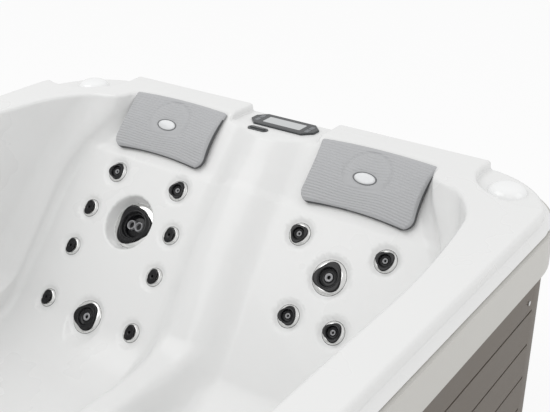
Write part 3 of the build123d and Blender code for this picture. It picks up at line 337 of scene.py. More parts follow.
JETS = named_jets()


def jet_place(seat, across, down, sunk=0.0):
    """A point on a seat back, with the directions there."""
    origin, right, up, out = seat_frame(seat)
    return origin + right * across - up * down + out * sunk, right, up, out


def placed(points, seat, across=0.0, down=0.0, sunk=0.0):
    """Points given across, up and out from a place on a seat back, in metres of the frame."""
    centre, right, up, out = jet_place(seat, across, down, sunk)
    return (centre + points[:, :1] * right + points[:, 1:2] * up + points[:, 2:3] * out) / 1000.0


def full_surface(x, y, z):
    """The moulded shell with the dimple round each jet."""
    g = surface(x, y, z)
    for _, seat, size, across, down, _ in JETS:
        centre, _, _, out = jet_place(seat, across, down)
        dx, dy, dz = x - centre[0], y - centre[1], z - centre[2]
        near = (np.abs(dx) < NEAR_JET) & (np.abs(dy) < NEAR_JET) & (np.abs(dz) < NEAR_JET)
        if not near.any():
            continue
        dx, dy, dz = dx[near], dy[near], dz[near]
        height = dx * out[0] + dy * out[1] + dz * out[2]
        flat = np.sqrt(np.maximum(dx * dx + dy * dy + dz * dz - height * height, 0))
        ring, edge, depth = RING[size] / 2, DIMPLE_EDGE[size], -SUNK[size]
        floor = (SWELL + depth) * ease((flat - ring - DIMPLE_GAP) / edge) - depth
        floor = floor + DIMPLE_SLOPE * np.maximum(flat - ring - DIMPLE_GAP - edge, 0)
        disc = np.maximum(floor - height, np.maximum(flat - ring - DIMPLE_REACH, height - DIMPLE_REACH))
        g[near] = join_max(g[near], -disc, JOIN["dimple"])
    return g


# Surface net
def spread(a):
    """Each value of a coarse grid repeated over its block."""
    return a.repeat(BLOCK, 0).repeat(BLOCK, 1).repeat(BLOCK, 2)


def sampled(field, axes, low, step):
    """The field on a grid: exact in the blocks near its zero level, coarse elsewhere."""
    nx, ny, nz = (len(a) for a in axes)
    cx, cy, cz = (np.arange(0, n + BLOCK, BLOCK) for n in (nx, ny, nz))
    coarse = field(*(g.ravel().astype(np.float32) for g in np.meshgrid(
        low[0] + cx * step, low[1] + cy * step, low[2] + cz * step, indexing="ij")))
    coarse = coarse.reshape(len(cx), len(cy), len(cz))
    near = np.abs(coarse) < 1.5 * BLOCK * step
    block = np.zeros((len(cx) - 1, len(cy) - 1, len(cz) - 1), bool)
    for i, j, k in CORNERS:
        block |= near[i:len(cx) - 1 + i, j:len(cy) - 1 + j, k:len(cz) - 1 + k]
    wanted = spread(block)
    grown = wanted.copy()
    grown[1:] |= wanted[:-1]
    grown[:, 1:] |= grown[:, :-1].copy()
    grown[:, :, 1:] |= grown[:, :, :-1].copy()
    grown = grown[:nx, :ny, :nz]
    value = spread(coarse[:-1, :-1, :-1])[:nx, :ny, :nz].copy()
    gi, gj, gk = np.nonzero(grown)
    value[gi, gj, gk] = field(axes[0][gi], axes[1][gj], axes[2][gk])
    return value


def net_points(value, inside, axes, step):
    """A point in each cell that the zero level crosses, and the numbers of these cells."""
    nx, ny, nz = (n - 1 for n in value.shape)
    filled = np.zeros((nx, ny, nz), np.uint8)
    for i, j, k in CORNERS:
        filled += inside[i:nx + i, j:ny + j, k:nz + k]
    cell = np.nonzero((filled > 0) & (filled < len(CORNERS)))
    index = np.full(filled.shape, -1, np.int64)
    index[cell] = np.arange(len(cell[0]))
    total = np.zeros((len(cell[0]), 3))
    count = np.zeros(len(cell[0]))
    for start in CORNERS:
        for axis in range(3):
            if start[axis]:
                continue
            end = list(start)
            end[axis] = 1
            va, vb = (value[tuple(c + d for c, d in zip(cell, corner))] for corner in (start, end))
            cross = (va < 0) != (vb < 0)
            t = np.where(cross, va / np.where(cross, va - vb, 1), 0)
            for d in range(3):
                total[:, d] += np.where(cross, start[d] + (t if d == axis else 0.0), 0)
            count += cross
    local = total / count[:, None]
    return np.stack([axes[d][cell[d]] + local[:, d] * step for d in range(3)], 1), index


def net_quads(inside, index):
    """A quad across each grid edge that the zero level crosses, facing out."""
    faces = []
    for axis in range(3):
        lower, upper = [slice(1, -1)] * 3, [slice(1, -1)] * 3
        lower[axis], upper[axis] = slice(0, -1), slice(1, None)
        a, b = inside[tuple(lower)], inside[tuple(upper)]
        edge = np.nonzero(a != b)
        base = [e + 1 for e in edge]
        base[axis] = base[axis] - 1
        u, v = (axis + 1) % 3, (axis + 2) % 3
        quad = []
        for du, dv in ((1, 1), (0, 1), (0, 0), (1, 0)):
            cell = list(base)
            cell[u] = cell[u] - du
            cell[v] = cell[v] - dv
            quad.append(index[tuple(cell)])
        quad = np.stack(quad, 1)
        flip = b[edge]
        quad[flip] = quad[flip][:, ::-1]
        faces.append(quad)
    faces = np.concatenate(faces)
    return faces[(faces >= 0).all(1)]


def gradient(field, x, y, z, eps=1.0):
    return np.stack([
        field(x + eps, y, z) - field(x - eps, y, z),
        field(x, y + eps, z) - field(x, y - eps, z),
        field(x, y, z + eps) - field(x, y, z - eps),
    ], 1) / (2 * eps)


def settled(field, points, step, rounds=3):
    """The points pulled onto the zero level, and the normals there."""
    for turn in range(rounds + 1):
        x, y, z = (points[:, d].astype(np.float32) for d in range(3))
        grad = gradient(field, x, y, z)
        if turn < rounds:
            move = grad * (field(x, y, z) / np.maximum((grad ** 2).sum(1), 0.05))[:, None]
            length = np.linalg.norm(move, axis=1, keepdims=True)
            points = points - move * np.minimum(1, 0.5 * step / np.maximum(length, 1e-6))
    return points, grad / np.maximum(np.linalg.norm(grad, axis=1, keepdims=True), 1e-6)


def net_of(field, low, high, step, keep):
    """Points, quads and normals of the zero level of a field, for the quads that keep picks."""
    axes = [np.arange(low[d], high[d] + step, step, dtype=np.float32) for d in range(3)]
    value = sampled(field, axes, low, step)
    inside = value < 0
    points, index = net_points(value, inside, axes, step)
    faces = net_quads(inside, index)
    points, normals = settled(field, points, step)
    faces = faces[keep(points[faces].mean(1))]
    used = np.zeros(len(points), bool)
    used[faces.ravel()] = True
    number = np.cumsum(used) - 1
    return points[used], number[faces], normals[used]


def kept_cells(m):
    """Drops the hidden outer side below the lip, and the holes that fittings cover."""
    outer = rounded_rect(m[:, 0], m[:, 1], RIM_HALF_X, RIM_HALF_Y, RIM_RADIUS)
    keep = ~((m[:, 2] < LIP_BOTTOM - LIP_MARGIN) & (outer > -LIP_BAND))
    for _, seat, size, across, down, _ in JETS:
        centre = jet_place(seat, across, down, SUNK[size])[0]
        keep &= np.linalg.norm(m - centre, axis=1) > RING[size] / 2 - RING_MARGIN
    lid = np.hypot(m[:, 0], m[:, 1] - FILTER_Y) < LID_RADIUS + LID_MARGIN
    lid = lid & (m[:, 2] > WELL_FLOOR + WELL_MARGIN)
    over_tunnel = (m[:, 1] < TUNNEL_BACK) & (m[:, 2] > TUNNEL_TOP + TUNNEL_MARGIN)
    return keep & ~(lid & ((m[:, 2] > LID_SEAT - LID_MARGIN) | over_tunnel))


# Materials
def node_material(name, colour, roughness, metallic=0.0, coat=0.0, specular=0.5, vary=0.04, vary_scale=8.0,
                  relief=None):
    """A Principled material with a soft procedural variation of colour and roughness.

    Where relief is given, as (scale, strength, distance), fine noise also bumps the surface."""
    mat = bpy.data.materials.new(name)
    mat.use_nodes = True
    tree = mat.node_tree
    tree.nodes.clear()
    out = tree.nodes.new("ShaderNodeOutputMaterial")
    bsdf = tree.nodes.new("ShaderNodeBsdfPrincipled")
    tree.links.new(bsdf.outputs[0], out.inputs[0])
    bsdf.inputs["Metallic"].default_value = metallic
    bsdf.inputs["Coat Weight"].default_value = coat
    bsdf.inputs["Coat Roughness"].default_value = 0.05
    bsdf.inputs["Specular IOR Level"].default_value = specular
    coord = tree.nodes.new("ShaderNodeTexCoord")
    tex = tree.nodes.new("ShaderNodeTexNoise")
    tex.inputs["Scale"].default_value = vary_scale
    tex.inputs["Detail"].default_value = 4
    tree.links.new(coord.outputs["Object"], tex.inputs["Vector"])
    ramp = tree.nodes.new("ShaderNodeMix")
    ramp.data_type = "RGBA"
    ramp.inputs[6].default_value = [v * (1 - vary) for v in colour] + [1]
    ramp.inputs[7].default_value = [min(v * (1 + vary), 1) for v in colour] + [1]
    tree.links.new(tex.outputs["Fac"], ramp.inputs[0])
    tree.links.new(ramp.outputs[2], bsdf.inputs["Base Color"])
    span = tree.nodes.new("ShaderNodeMapRange")
    span.inputs["To Min"].default_value = roughness * 0.85
    span.inputs["To Max"].default_value = min(roughness * 1.15, 1)
    tree.links.new(tex.outputs["Fac"], span.inputs["Value"])
    tree.links.new(span.outputs[0], bsdf.inputs["Roughness"])
    if relief:
        scale, strength, distance = relief
        fine = tree.nodes.new("ShaderNodeTexNoise")
        fine.inputs["Scale"].default_value = scale
        fine.inputs["Detail"].default_value = 3
        tree.links.new(coord.outputs["Object"], fine.inputs["Vector"])
        height = tree.nodes.new("ShaderNodeBump")
        height.inputs["Strength"].default_value = strength
        height.inputs["Distance"].default_value = distance
        tree.links.new(fine.outputs["Fac"], height.inputs["Height"])
        tree.links.new(height.outputs[0], bsdf.inputs["Normal"])
    return mat


acrylic = node_material("acrylic", (0.815, 0.817, 0.812), 0.28, coat=0.25, specular=0.4, vary=0.006,
                        vary_scale=2.5)
trim_mat = node_material("trim", (0.57, 0.56, 0.53), 0.45, vary=0.03, relief=(350, 0.15, 0.0004))
taupe = node_material("cabinet", (0.145, 0.125, 0.105), 0.55, vary=0.12, vary_scale=14,
                      relief=(90, 0.3, 0.0008))
jet_black = node_material("jet_black", (0.007, 0.007, 0.008), 0.13, specular=0.30, vary=0.05)
jet_grey = node_material("jet_grey", (0.30, 0.30, 0.31), 0.16, coat=0.5, vary=0.05)
chrome = node_material("chrome", (0.80, 0.80, 0.79), 0.14, metallic=1.0, vary=0.03,
                       relief=(120, 0.05, 0.0003))
pillow_mat = node_material("pillow", (0.46, 0.465, 0.475), 0.62, vary=0.03, vary_scale=40,
                           relief=(900, 0.2, 0.0003))
# Dark back of the pillows, also used as painted shade along their lower edges.
pillow_back_and_shade = node_material("pillow_back_and_shade", (0.10, 0.102, 0.106), 0.8, vary=0.05)
badge_mat = node_material("badge", (0.72, 0.73, 0.74), 0.15, coat=0.5, vary=0.01)
# Dark grey edge of the badges; on the knobs the same material is painted shade under the cap.
badge_rim_and_knob_shade = node_material("badge_rim_and_knob_shade", (0.16, 0.165, 0.17), 0.35, vary=0.03)
panel_mat = node_material("panel", (0.040, 0.043, 0.046), 0.22, coat=0.1, specular=0.35, vary=0.05)
display_mat = node_material("display", (0.55, 0.565, 0.57), 0.2, coat=0.4, vary=0.02)
key_mat = node_material("keys", (0.20, 0.21, 0.22), 0.5, vary=0.05)
button_mat = node_material("button", (0.055, 0.058, 0.06), 0.3, vary=0.04)
white_plastic = node_material("white_plastic", (0.90, 0.905, 0.905), 0.14, coat=0.5, vary=0.008)
grey_plastic = node_material("grey_plastic", (0.30, 0.305, 0.31), 0.35, vary=0.04)
lens = node_material("lens", (0.62, 0.68, 0.72), 0.12, coat=0.6, vary=0.02)
fleece = node_material("fleece", (0.72, 0.74, 0.77), 0.9, vary=0.03, relief=(400, 0.3, 0.0005))
plumbing = node_material("plumbing", (0.72, 0.72, 0.70), 0.45, vary=0.03)
timber = node_material("timber", (0.36, 0.24, 0.13), 0.75, vary=0.2, vary_scale=20, relief=(60, 0.3, 0.001))
steel = node_material("steel", (0.60, 0.60, 0.59), 0.28, metallic=1.0, vary=0.05)
pan_mat = node_material("pan", (0.03, 0.03, 0.03), 0.6, vary=0.1, relief=(200, 0.2, 0.0005))
foam = node_material("foam", (0.6, 0.6, 0.56), 0.9, vary=0.05, relief=(150, 0.4, 0.001))
motor = node_material("motor", (0.05, 0.055, 0.06), 0.4, vary=0.08, relief=(180, 0.15, 0.0005))

# The nodes of each material; every other node is one of the jets' black faces
FINISH = [
    (acrylic, ["shell"]),
    (trim_mat, ["rim_trim"]),
    (taupe, ["front_panel", "rear_access_panel", "side_panels", "corner_covers"]),
    (plumbing, ["pillow_studs", "jet_bodies", "jet_nuts", "diverter_valves", "water_pipes"]),
    (chrome, ["jet_rings"]),
    (jet_grey, ["jet_spinner"]),
    (panel_mat, ["control_panel"]),
    (display_mat, ["control_display"]),
    (key_mat, ["key_warm", "key_cool", "key_jets", "key_light"]),
    (button_mat, ["button_collar", "jets_button"]),
    (white_plastic, ["diverter_knob_left", "diverter_knob_right", "filter_lid", "weir_flap"]),
    (grey_plastic, ["suction_covers", "floor_drain", "control_box"]),
    (lens, ["footwell_light"]),
    (fleece, ["filter_cartridge"]),
    (timber, ["frame_rails", "frame_posts"]),
    (steel, ["panel_screws", "pump_rotor", "heater"]),
    (pan_mat, ["base_pan", "pump_wet_end"]),
    (foam, ["shell_supports"]),
    (motor, ["pump_motor"]),
    (badge_mat, ["pillow_badges"]),
    (pillow_mat, ["pillow_rear_left", "pillow_rear_right", "front_pillows"]),
]
finish_of = {node: material for material, names in FINISH for node in names}
for name, obj in nodes.items():
    obj.data.materials.clear()
    obj.data.materials.append(finish_of.get(name, jet_black))


# The moulded shell, and the stepped seat of the filter lid with the top of its well
def filter_seat():
    profile = [
        (LID_RADIUS + 12, RIM_TOP - 0.6), (LID_RADIUS + 10, RIM_TOP + 0.25), (LID_RADIUS + 3, RIM_TOP + 0.3),
        (LID_RADIUS + 0.9, RIM_TOP - 0.5), (LID_RADIUS + 0.2, RIM_TOP - 2.2), (LID_RADIUS + 0.2, LID_SEAT),
        (WELL_RADIUS + 2.5, LID_SEAT), (WELL_RADIUS + 0.7, LID_SEAT - 0.8), (WELL_RADIUS, LID_SEAT - 2.8),
        (WELL_RADIUS, TUNNEL_TOP + 6),
    ]
    points, faces, _ = turned(profile, SEAT_SIDES, [])
    return mesh_object("filter_seat", (points + [0, FILTER_Y, 0]) / 1000.0, faces, [acrylic])


shell_points, shell_faces, shell_normals = net_of(full_surface, NET_LOW, NET_HIGH, STEP, kept_cells)
shell = mesh_object("shell_moulding", shell_points / 1000.0, shell_faces, [acrylic], normals=shell_normals)
seat_ring = filter_seat()
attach(seat_ring, "tub")
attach(shell, "tub")
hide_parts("shell")


# Jets
def ring_parts(r, b):
    """A polished ring of radius r round a bore of radius b, on a thin black band that is partly a real gasket
    and partly painted shade of the gap under the ring's edge.
    """
    profile = [
        (r + 1.6, -1.5), (r + 1.6, 0.35), (r + 0.5, 0.6), (r, 0.9), (r * 0.995, 1.8), (r * 0.97, 2.8),
        (r * 0.90, 4.2), (r * 0.83, 5.3), (r * 0.79, 5.8), (r * 0.75, 5.9), (b + 1.2, 5.6), (b + 0.4, 4.8),
        (b, 1.0),
    ]
    # The first two bands take the black face material: a gasket, and painted shade of the gap under the ring.
    return turned(profile, RING_SIDES, [(2, 1), (10, 0)])


def jet_ring_set():
    parts = []
    for _, seat, size, across, down, _ in JETS:
        points, faces, slots = ring_parts(RING[size] / 2, BORE[size])
        parts.append((placed(points, seat, across, down, SUNK[size]), faces, slots))
    points, faces, slots = stacked(parts)
    return mesh_object("jet_ring_set", points, faces, [chrome, jet_black], slots)


rings = jet_ring_set()
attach(rings, "tub")
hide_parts("jet_rings")

# Underside of the faces over the seat back, and the slotted face of the smallest jets
FACE_LOW = 7.6
PILL_LENGTH, PILL_WIDTH = 46.0, 28.0


def lobed(turn):
    """Radius of a soft three-lobed outline, as a share of its largest."""
    t = math.radians(turn)
    return lambda a: 0.895 + 0.105 * np.cos(3 * (a - t))


def pill(turn):
    """Radius of the slotted face's outline, as a share of half its length."""
    t = math.radians(turn)
    half, r = PILL_LENGTH / 2, PILL_WIDTH / 2

    def radius(a):
        cos_a, sin_a = np.abs(np.cos(a - t)), np.abs(np.sin(a - t))
        d = half - r
        flat = r / np.maximum(sin_a, 1e-6)
        cap = d * cos_a + np.sqrt(np.maximum(r * r - (d * sin_a) ** 2, 0))
        return np.where(flat * cos_a <= d, flat, cap) / half

    return radius


def face_profile(size, r, low):
    """Section of a face from its edge to its middle."""
    if size == "s":
        half = PILL_LENGTH / 2
        return [
            (half * 0.97, low, 1), (half, low + 0.8, 1), (half * 0.99, low + 2.4, 1),
            (half * 0.94, low + 3.3, 1), (half * 0.80, low + 3.5, 1), (half * 0.45, low + 3.4, 0.8),
            (4.6, low + 3.3), (3.8, low + 2.9), (3.5, low - 2), (3.2, low - 9), (0.01, low - 9),
        ]
    if size == "xl":
        return [
            (r * 0.90, low, 1), (r * 0.93, low + 0.9, 1), (r * 0.925, low + 2.8, 1), (r * 0.89, low + 4.2, 1),
            (r * 0.83, low + 4.6, 0.9), (r * 0.70, low + 3.8, 0.25), (r * 0.645, low + 3.6),
            (r * 0.62, low + 4.3), (r * 0.595, low + 3.8), (r * 0.575, low + 1), (r * 0.56, low - 6),
            (r * 0.545, low - 7), (r * 0.52, low - 7.4), (r * 0.50, low - 9), (r * 0.49, low - 20),
            (r * 0.46, low - 21), (0.01, low - 21),
        ]
    return [
        (r * 0.90, low, 1), (r * 0.93, low + 0.7, 1), (r * 0.925, low + 2.2, 1), (r * 0.89, low + 3.3, 1),
        (r * 0.83, low + 3.6, 0.9), (r * 0.70, low + 3.0, 0.25), (r * 0.63, low + 2.9), (r * 0.60, low + 3.5),
        (r * 0.57, low + 3.1), (r * 0.545, low + 1.2), (r * 0.52, low - 3.0), (r * 0.48, low - 5.0),
        (r * 0.36, low - 6.4), (r * 0.32, low - 6.4),
    ]


def nozzle_profile(r, low):
    """Section of the single nozzle in a middle or large face."""
    return [
        (r * 0.32, low - 6.4), (r * 0.27, low - 5.9), (r * 0.25, low - 3.6), (r * 0.235, low - 2.7),
        (r * 0.19, low - 2.3), (r * 0.125, low - 2.9), (r * 0.10, low - 5.0), (r * 0.09, low - 12.0),
        (0.01, low - 12.0),
    ]


def jet_face(name, seat, size, across, down, turn):
    r = RING[size] / 2
    profile = face_profile(size, r, FACE_LOW)
    outline = pill(turn) if size == "s" else lobed(turn)
    parts = [turned(profile, FACE_SIDES, [(len(profile) - 1, 0)], outline)]
    materials = [jet_black]
    if size in ("m", "l"):
        parts.append(turned(nozzle_profile(r, FACE_LOW), FACE_SIDES, [(2, 0), (4, 1), (2, 0)]))
        materials.append(jet_grey)
    points, faces, slots = stacked(parts)
    points = placed(points, seat, across, down, SUNK[size])
    return mesh_object(f"face_{name}", points, faces, materials, slots)


for name, *jet in JETS:
    face = jet_face(name, *jet)
    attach(face, f"{name}_face")
    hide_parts(f"jet_{name}")


def double_nozzle():
    """The turning pair of nozzles in the largest jet, on a round plate."""
    plate = [(33.0, -12.0), (33.5, -9.5), (30.0, -8.0), (20.0, -6.5), (8.0, -6.0), (0.01, -6.0)]
    nozzle = [
        (16.0, -7.0), (15.0, -3.0), (14.2, 0.5), (13.4, 1.6), (12.0, 1.9), (10.6, 1.2), (9.8, -1.0),
        (9.2, -12.0), (0.01, -12.0),
    ]
    parts = [turned(plate, RING_SIDES, [(len(plate) - 1, 0)])]
    for side in (-1, 1):
        points, faces, slots = turned(nozzle, NOZZLE_SIDES, [(len(nozzle) - 1, 1)])
        parts.append((points + [side * 14.0, side * 0.5, 0], faces, slots))
    points, faces, slots = stacked(parts)
    _, seat, size, across, down, _ = next(jet for jet in JETS if jet[2] == "xl")
    return mesh_object("double_nozzle", placed(points, seat, across, down, SUNK[size]), faces,
                       [jet_black, jet_grey], slots)


spinner = double_nozzle()
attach(spinner, "xl_spinner")
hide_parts("jet_spinner")

# Pillows: place down the back, length, half width, draw-in of the sides, corner radii, rows of points
PILLOW_START, PILLOW_LENGTH = 4.0, 190.0
PILLOW_HALF, PILLOW_WAIST = 173.0, 8.0
PILLOW_TOP_R, PILLOW_LOW_R = 9.0, 36.0
PILLOW_COLS, PILLOW_ROWS = 100, 190
# Height at the edge and its gain downwards; the crown's base, rise and dip; bow of the upper and lower end
EDGE_LIFT, EDGE_LIFT_LOW = 5.0, 2.5
CROWN_BASE, CROWN_RISE, CROWN_DIP = 6.0, 22.0, 3.0
BOW_TOP, BOW_LOW = 6.0, 9.0
# Share of the outline that the flat underside keeps
UNDER_X, UNDER_Y = 0.962, 0.93
# Widths over which the foam rounds off at its sides, lower end and upper end
ROUND_SIDE, ROUND_LOW, ROUND_TOP = 9.0, 10.0, 7.0
# Arch round the badge: half width, place, half height, rise, depth and width of its groove
ARCH_X, ARCH_S, ARCH_H, ARCH_RISE, GROOVE_DEPTH, GROOVE_WIDTH = 68.0, 78.0, 64.0, 2.4, 3.2, 0.11
ARCH_FADE = (128.0, 84.0)
# Ribs: height and pitch, their sway across the pillow, and the dip round the middle
RIB_HEIGHT, RIB_PITCH = 0.62, 8.2
RIB_SWAY, RIB_SWAY_X = 3.0, 34.0
RIB_DIP, RIB_DIP_X, RIB_DIP_S = 5.0, 60.0, 28.0
# Hollow under the badge, and the badge: half width, place, half height
HOLLOW_X, HOLLOW_S, HOLLOW_H, HOLLOW_DEPTH = 39.0, 90.0, 21.5, 1.6
BADGE_X, BADGE_S, BADGE_H = 35.5, 94.0, 17.2


def round_off(distance, radius):
    """Share of the full height near an edge that is rounded with a radius."""
    return np.sqrt(np.clip(1 - (1 - np.clip(distance / radius, 0, 1)) ** 2, 0, 1))


def corner_inset(over, radius):
    """How far a rounded corner draws the edge in, by the distance past the corner's start."""
    return radius - np.sqrt(np.maximum(radius ** 2 - np.clip(over, 0, None) ** 2, 0))


def pillow_relief(x, s, uu, vv):
    """Rise of the arch, height of the ribs, and depth of the groove and the badge's hollow."""
    arch = (x / ARCH_X) ** 2 + ((s - ARCH_S) / ARCH_H) ** 2
    fade = smoothstep(*ARCH_FADE, s)
    raised = ARCH_RISE * smoothstep(1.10, 0.90, arch) * fade
    dip = RIB_DIP * np.exp(-((x / RIB_DIP_X) ** 2)) * np.sin(s / RIB_DIP_S)
    wave = s + RIB_SWAY * np.sin(x / RIB_SWAY_X) + dip
    within = smoothstep(1.02, 0.98, arch) * fade
    wave = wave * (1 - within) + within * (np.hypot(0.62 * x, s + 20.0) + 4.1)
    groove = GROOVE_DEPTH * np.exp(-(((arch - 1.0) / GROOVE_WIDTH) ** 2)) * fade
    inside = smoothstep(0.0, 0.06, 1 - np.abs(uu)) * smoothstep(0.0, 0.05, vv) * smoothstep(1.0, 0.95, vv)
    hollow = smoothstep(1.5, 0.9, (x / HOLLOW_X) ** 2 + ((s - HOLLOW_S) / HOLLOW_H) ** 2)
    ribs = RIB_HEIGHT * np.sin(wave * 2 * math.pi / RIB_PITCH) * inside * (1 - hollow)
    return raised, ribs, HOLLOW_DEPTH * hollow + groove


def pillow_mesh(name, seat):
    """A crowned foam pillow with wavy ribs, drawn-in edges and a raised arch round its badge, with painted
    shade along its low edges.
    """
    cols, rows = PILLOW_COLS, PILLOW_ROWS
    uu, vv = np.meshgrid(np.sin(np.linspace(-1, 1, cols) * math.pi / 2), np.linspace(0, 1, rows))
    s = vv * PILLOW_LENGTH
    half = PILLOW_HALF - PILLOW_WAIST * np.sin(vv * math.pi)
    inset = corner_inset(PILLOW_TOP_R - s, PILLOW_TOP_R)
    inset = inset + corner_inset(s - (PILLOW_LENGTH - PILLOW_LOW_R), PILLOW_LOW_R)
    x = uu * (half - inset)
    edge = np.minimum(round_off((1 - np.abs(uu)) * half, ROUND_SIDE), round_off(PILLOW_LENGTH - s, ROUND_LOW))
    edge = np.minimum(edge, round_off(s, ROUND_TOP))
    crown = CROWN_BASE + CROWN_RISE * np.sin((vv * 0.80 + 0.02) * math.pi) ** 0.9
    crown = crown - CROWN_DIP * (1 - np.abs(uu) ** 2) * np.sin(math.pi * vv)
    raised, ribs, cut = pillow_relief(x, s, uu, vv)
    lift = EDGE_LIFT + EDGE_LIFT_LOW * smoothstep(0.3, 1.0, vv)
    height = lift + edge * (crown + raised - lift) + ribs * edge - cut
    along = PILLOW_START + s + BOW_TOP * uu ** 2 * (1 - vv)
    along = along - BOW_LOW * (1 - uu ** 2) * smoothstep(0.4, 1.0, vv)
    top = np.stack([x, -along, height], 2).reshape(-1, 3)
    rim = [r * cols for r in range(rows)] + [(rows - 1) * cols + c for c in range(1, cols)]
    rim += [r * cols + cols - 1 for r in range(rows - 2, -1, -1)] + [c for c in range(cols - 2, 0, -1)]
    under = top[rim] * [UNDER_X, UNDER_Y, 0]
    under = under + [0, -(1 - UNDER_Y) * (PILLOW_START + PILLOW_LENGTH / 2), 0.4]
    first, around = rows * cols, len(rim)
    faces = [(a, d, c, b) for a, b, c, d in grid_faces(rows, cols)]
    faces += [(rim[i], rim[(i + 1) % around], first + (i + 1) % around, first + i) for i in range(around)]
    faces.append(tuple(first + i for i in range(around)))
    # Faces low on the rounded sides and lower end take the dark material: painted shade where the pillow
    # meets the seat. The undercut wall and the underside take it too, partly as the dark back and partly as
    # painted shade of the undercut.
    cell_edge = (edge[:-1, :-1] + edge[1:, 1:] + edge[:-1, 1:] + edge[1:, :-1]) / 4
    dark = (cell_edge < 0.55) & (vv[:-1, :-1] > 0.12)
    slots = dark.ravel().astype(int).tolist() + [1] * (around + 1)
    points = placed(np.concatenate([top, under]), seat)
    return mesh_object(name, points, faces, [pillow_mat, pillow_back_and_shade], slots)


def badge_parts(seat):
    """A blank oval inlay in a dark edge."""
    edge = [(1.0, 20.0), (1.0, 25.2), (0.97, 26.2), (0.90, 26.2), (0.87, 25.0)]
    disc = [(0.87, 25.0), (0.84, 25.9), (0.7, 26.5), (0.4, 27.0), (0.001, 27.1)]
    points, faces, slots = stacked([turned(profile, BADGE_SIDES, [(len(profile) - 1, slot)])
                                    for profile, slot in ((edge, 1), (disc, 0))])
    return placed(points * [BADGE_X, BADGE_H, 1.0] - [0, BADGE_S, 0], seat), faces, slots


def joined(objs, name):
    """One object from several."""
    bpy.ops.object.select_all(action="DESELECT")
    for obj in objs:
        obj.select_set(True)
    bpy.context.view_layer.objects.active = objs[0]
    bpy.ops.object.join()
    objs[0].name = name
    return objs[0]


for seat in ("rear_left", "rear_right"):
    cushion = pillow_mesh(f"headrest_{seat}", seat)
    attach(cushion, "tub")
    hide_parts(f"pillow_{seat}")
pair = joined([pillow_mesh("headrest_a", "front_left"), pillow_mesh("headrest_b", "front_right")],
              "headrests_front")
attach(pair, "tub")
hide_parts("front_pillows")

badge_points, badge_faces, badge_slots = stacked([badge_parts(seat) for seat in SEAT_JETS])
badges = mesh_object("oval_badges", badge_points, badge_faces, [badge_mat, badge_rim_and_knob_shade], badge_slots)
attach(badges, "tub")
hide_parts("pillow_badges")


# Corner knobs
def knob_mesh(name, node):
    """A domed knob with rounded shoulders over a dark ring of painted shade, from the box of its solid."""
    low, high = (np.array(c) * 1000.0 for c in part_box(node))
    place = (low + high) / 2
    radius, height = (high[0] - low[0]) / 2, high[2] - low[2]
    shoulder = 0.36 * height
    profile = [(radius + 1.6, 0.2), (radius + 1.2, 1.6), (radius - 7, 0.14 * height),
               (radius - 1.2, 0.21 * height), (radius, 0.27 * height)]
    for a in np.linspace(0, math.pi / 2, 22):
        profile.append((max(radius * max(math.cos(a), 0.0) ** 0.62, 0.01),
                        shoulder + (height - shoulder) * math.sin(a) ** 1.05))
    # The first two bands are dark: a ring of painted shade at the cap's foot and under its shoulder.
    points, faces, slots = turned(profile, KNOB_SIDES, [(2, 1), (len(profile) - 3, 0)])
    points = (points + [place[0], place[1], low[2]]) / 1000.0
    return mesh_object(name, points, faces, [white_plastic, badge_rim_and_knob_shade], slots)


for side in ("left", "right"):
    knob = knob_mesh(f"knob_cap_{side}", f"diverter_knob_{side}")
    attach(knob, f"diverter_knob_{side}")
    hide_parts(f"diverter_knob_{side}")


# Stage
def floor_material():
    """Matt white that the camera sees as a nearly white studio floor, with the object's shadow kept."""
    mat = bpy.data.materials.new("floor")
    mat.use_nodes = True
    tree = mat.node_tree
    tree.nodes.clear()
    out = tree.nodes.new("ShaderNodeOutputMaterial")
    mix = tree.nodes.new("ShaderNodeMixShader")
    diffuse = tree.nodes.new("ShaderNodeBsdfDiffuse")
    glow = tree.nodes.new("ShaderNodeEmission")
    path = tree.nodes.new("ShaderNodeLightPath")
    share = tree.nodes.new("ShaderNodeMath")
    diffuse.inputs[0].default_value = (0.90, 0.90, 0.90, 1)
    glow.inputs[0].default_value = (1, 1, 1, 1)
    share.operation = "MULTIPLY"
    share.inputs[1].default_value = 0.85
    tree.links.new(path.outputs["Is Camera Ray"], share.inputs[0])
    tree.links.new(share.outputs[0], mix.inputs[0])
    tree.links.new(diffuse.outputs[0], mix.inputs[1])
    tree.links.new(glow.outputs[0], mix.inputs[2])
    tree.links.new(mix.outputs[0], out.inputs[0])
    return mat


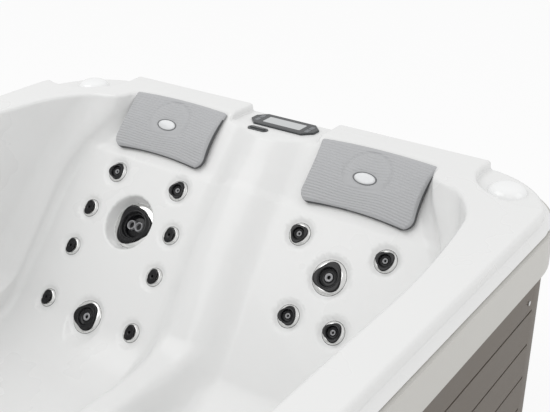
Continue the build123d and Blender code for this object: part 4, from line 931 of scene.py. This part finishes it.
def studio_world():
    """White surroundings, a little brighter to the camera than as a light."""
    world = bpy.data.worlds.new("studio")
    world.use_nodes = True
    tree = world.node_tree
    tree.nodes.clear()
    out = tree.nodes.new("ShaderNodeOutputWorld")
    mix = tree.nodes.new("ShaderNodeMixShader")
    path = tree.nodes.new("ShaderNodeLightPath")
    tree.links.new(path.outputs["Is Camera Ray"], mix.inputs[0])
    for slot, strength in ((1, 0.80), (2, 1.0)):
        background = tree.nodes.new("ShaderNodeBackground")
        background.inputs[0].default_value = (1, 1, 1, 1)
        background.inputs[1].default_value = strength
        tree.links.new(background.outputs[0], mix.inputs[slot])
    tree.links.new(mix.outputs[0], out.inputs[0])
    return world


def area_light(name, place, aim, size, power):
    """A rectangular light at place that points at aim."""
    data = bpy.data.lights.new(name, "AREA")
    data.shape = "RECTANGLE"
    data.size, data.size_y = size
    data.energy = power
    obj = bpy.data.objects.new(name, data)
    bpy.context.scene.collection.objects.link(obj)
    obj.location = place
    dx, dy, dz = np.array(aim, float) - np.array(place, float)
    obj.rotation_euler = (math.atan2(math.hypot(dx, dy), -dz), 0, math.atan2(-dx, dy))


FLOOR_HALF, FLOOR_Z = 15.0, -0.001
floor = mesh_object(
    "floor", [(x * FLOOR_HALF, y * FLOOR_HALF, FLOOR_Z) for x, y in ((-1, -1), (1, -1), (1, 1), (-1, 1))],
    [(0, 1, 2, 3)], [floor_material()], smooth=False)
bpy.context.scene.world = studio_world()
area_light("key", (-2.0, -1.2, 4.6), (0, 0.3, 0.6), (4.0, 3.0), 60)
area_light("side", (4.0, 1.5, 3.0), (0, 0.3, 0.6), (3.0, 3.0), 25)

# Camera, worked out from the photograph
camera_data = bpy.data.cameras.new("camera")
camera_data.lens = 62.0
camera_data.sensor_width = 36.0
camera_data.clip_end = 100
camera = bpy.data.objects.new("camera", camera_data)
bpy.context.scene.collection.objects.link(camera)
camera.location = (1.426, -1.095, 1.810)
camera.rotation_euler = (math.radians(64.11), 0, math.radians(35.0))
bpy.context.scene.camera = camera
bpy.context.scene.view_settings.view_transform = "Standard"
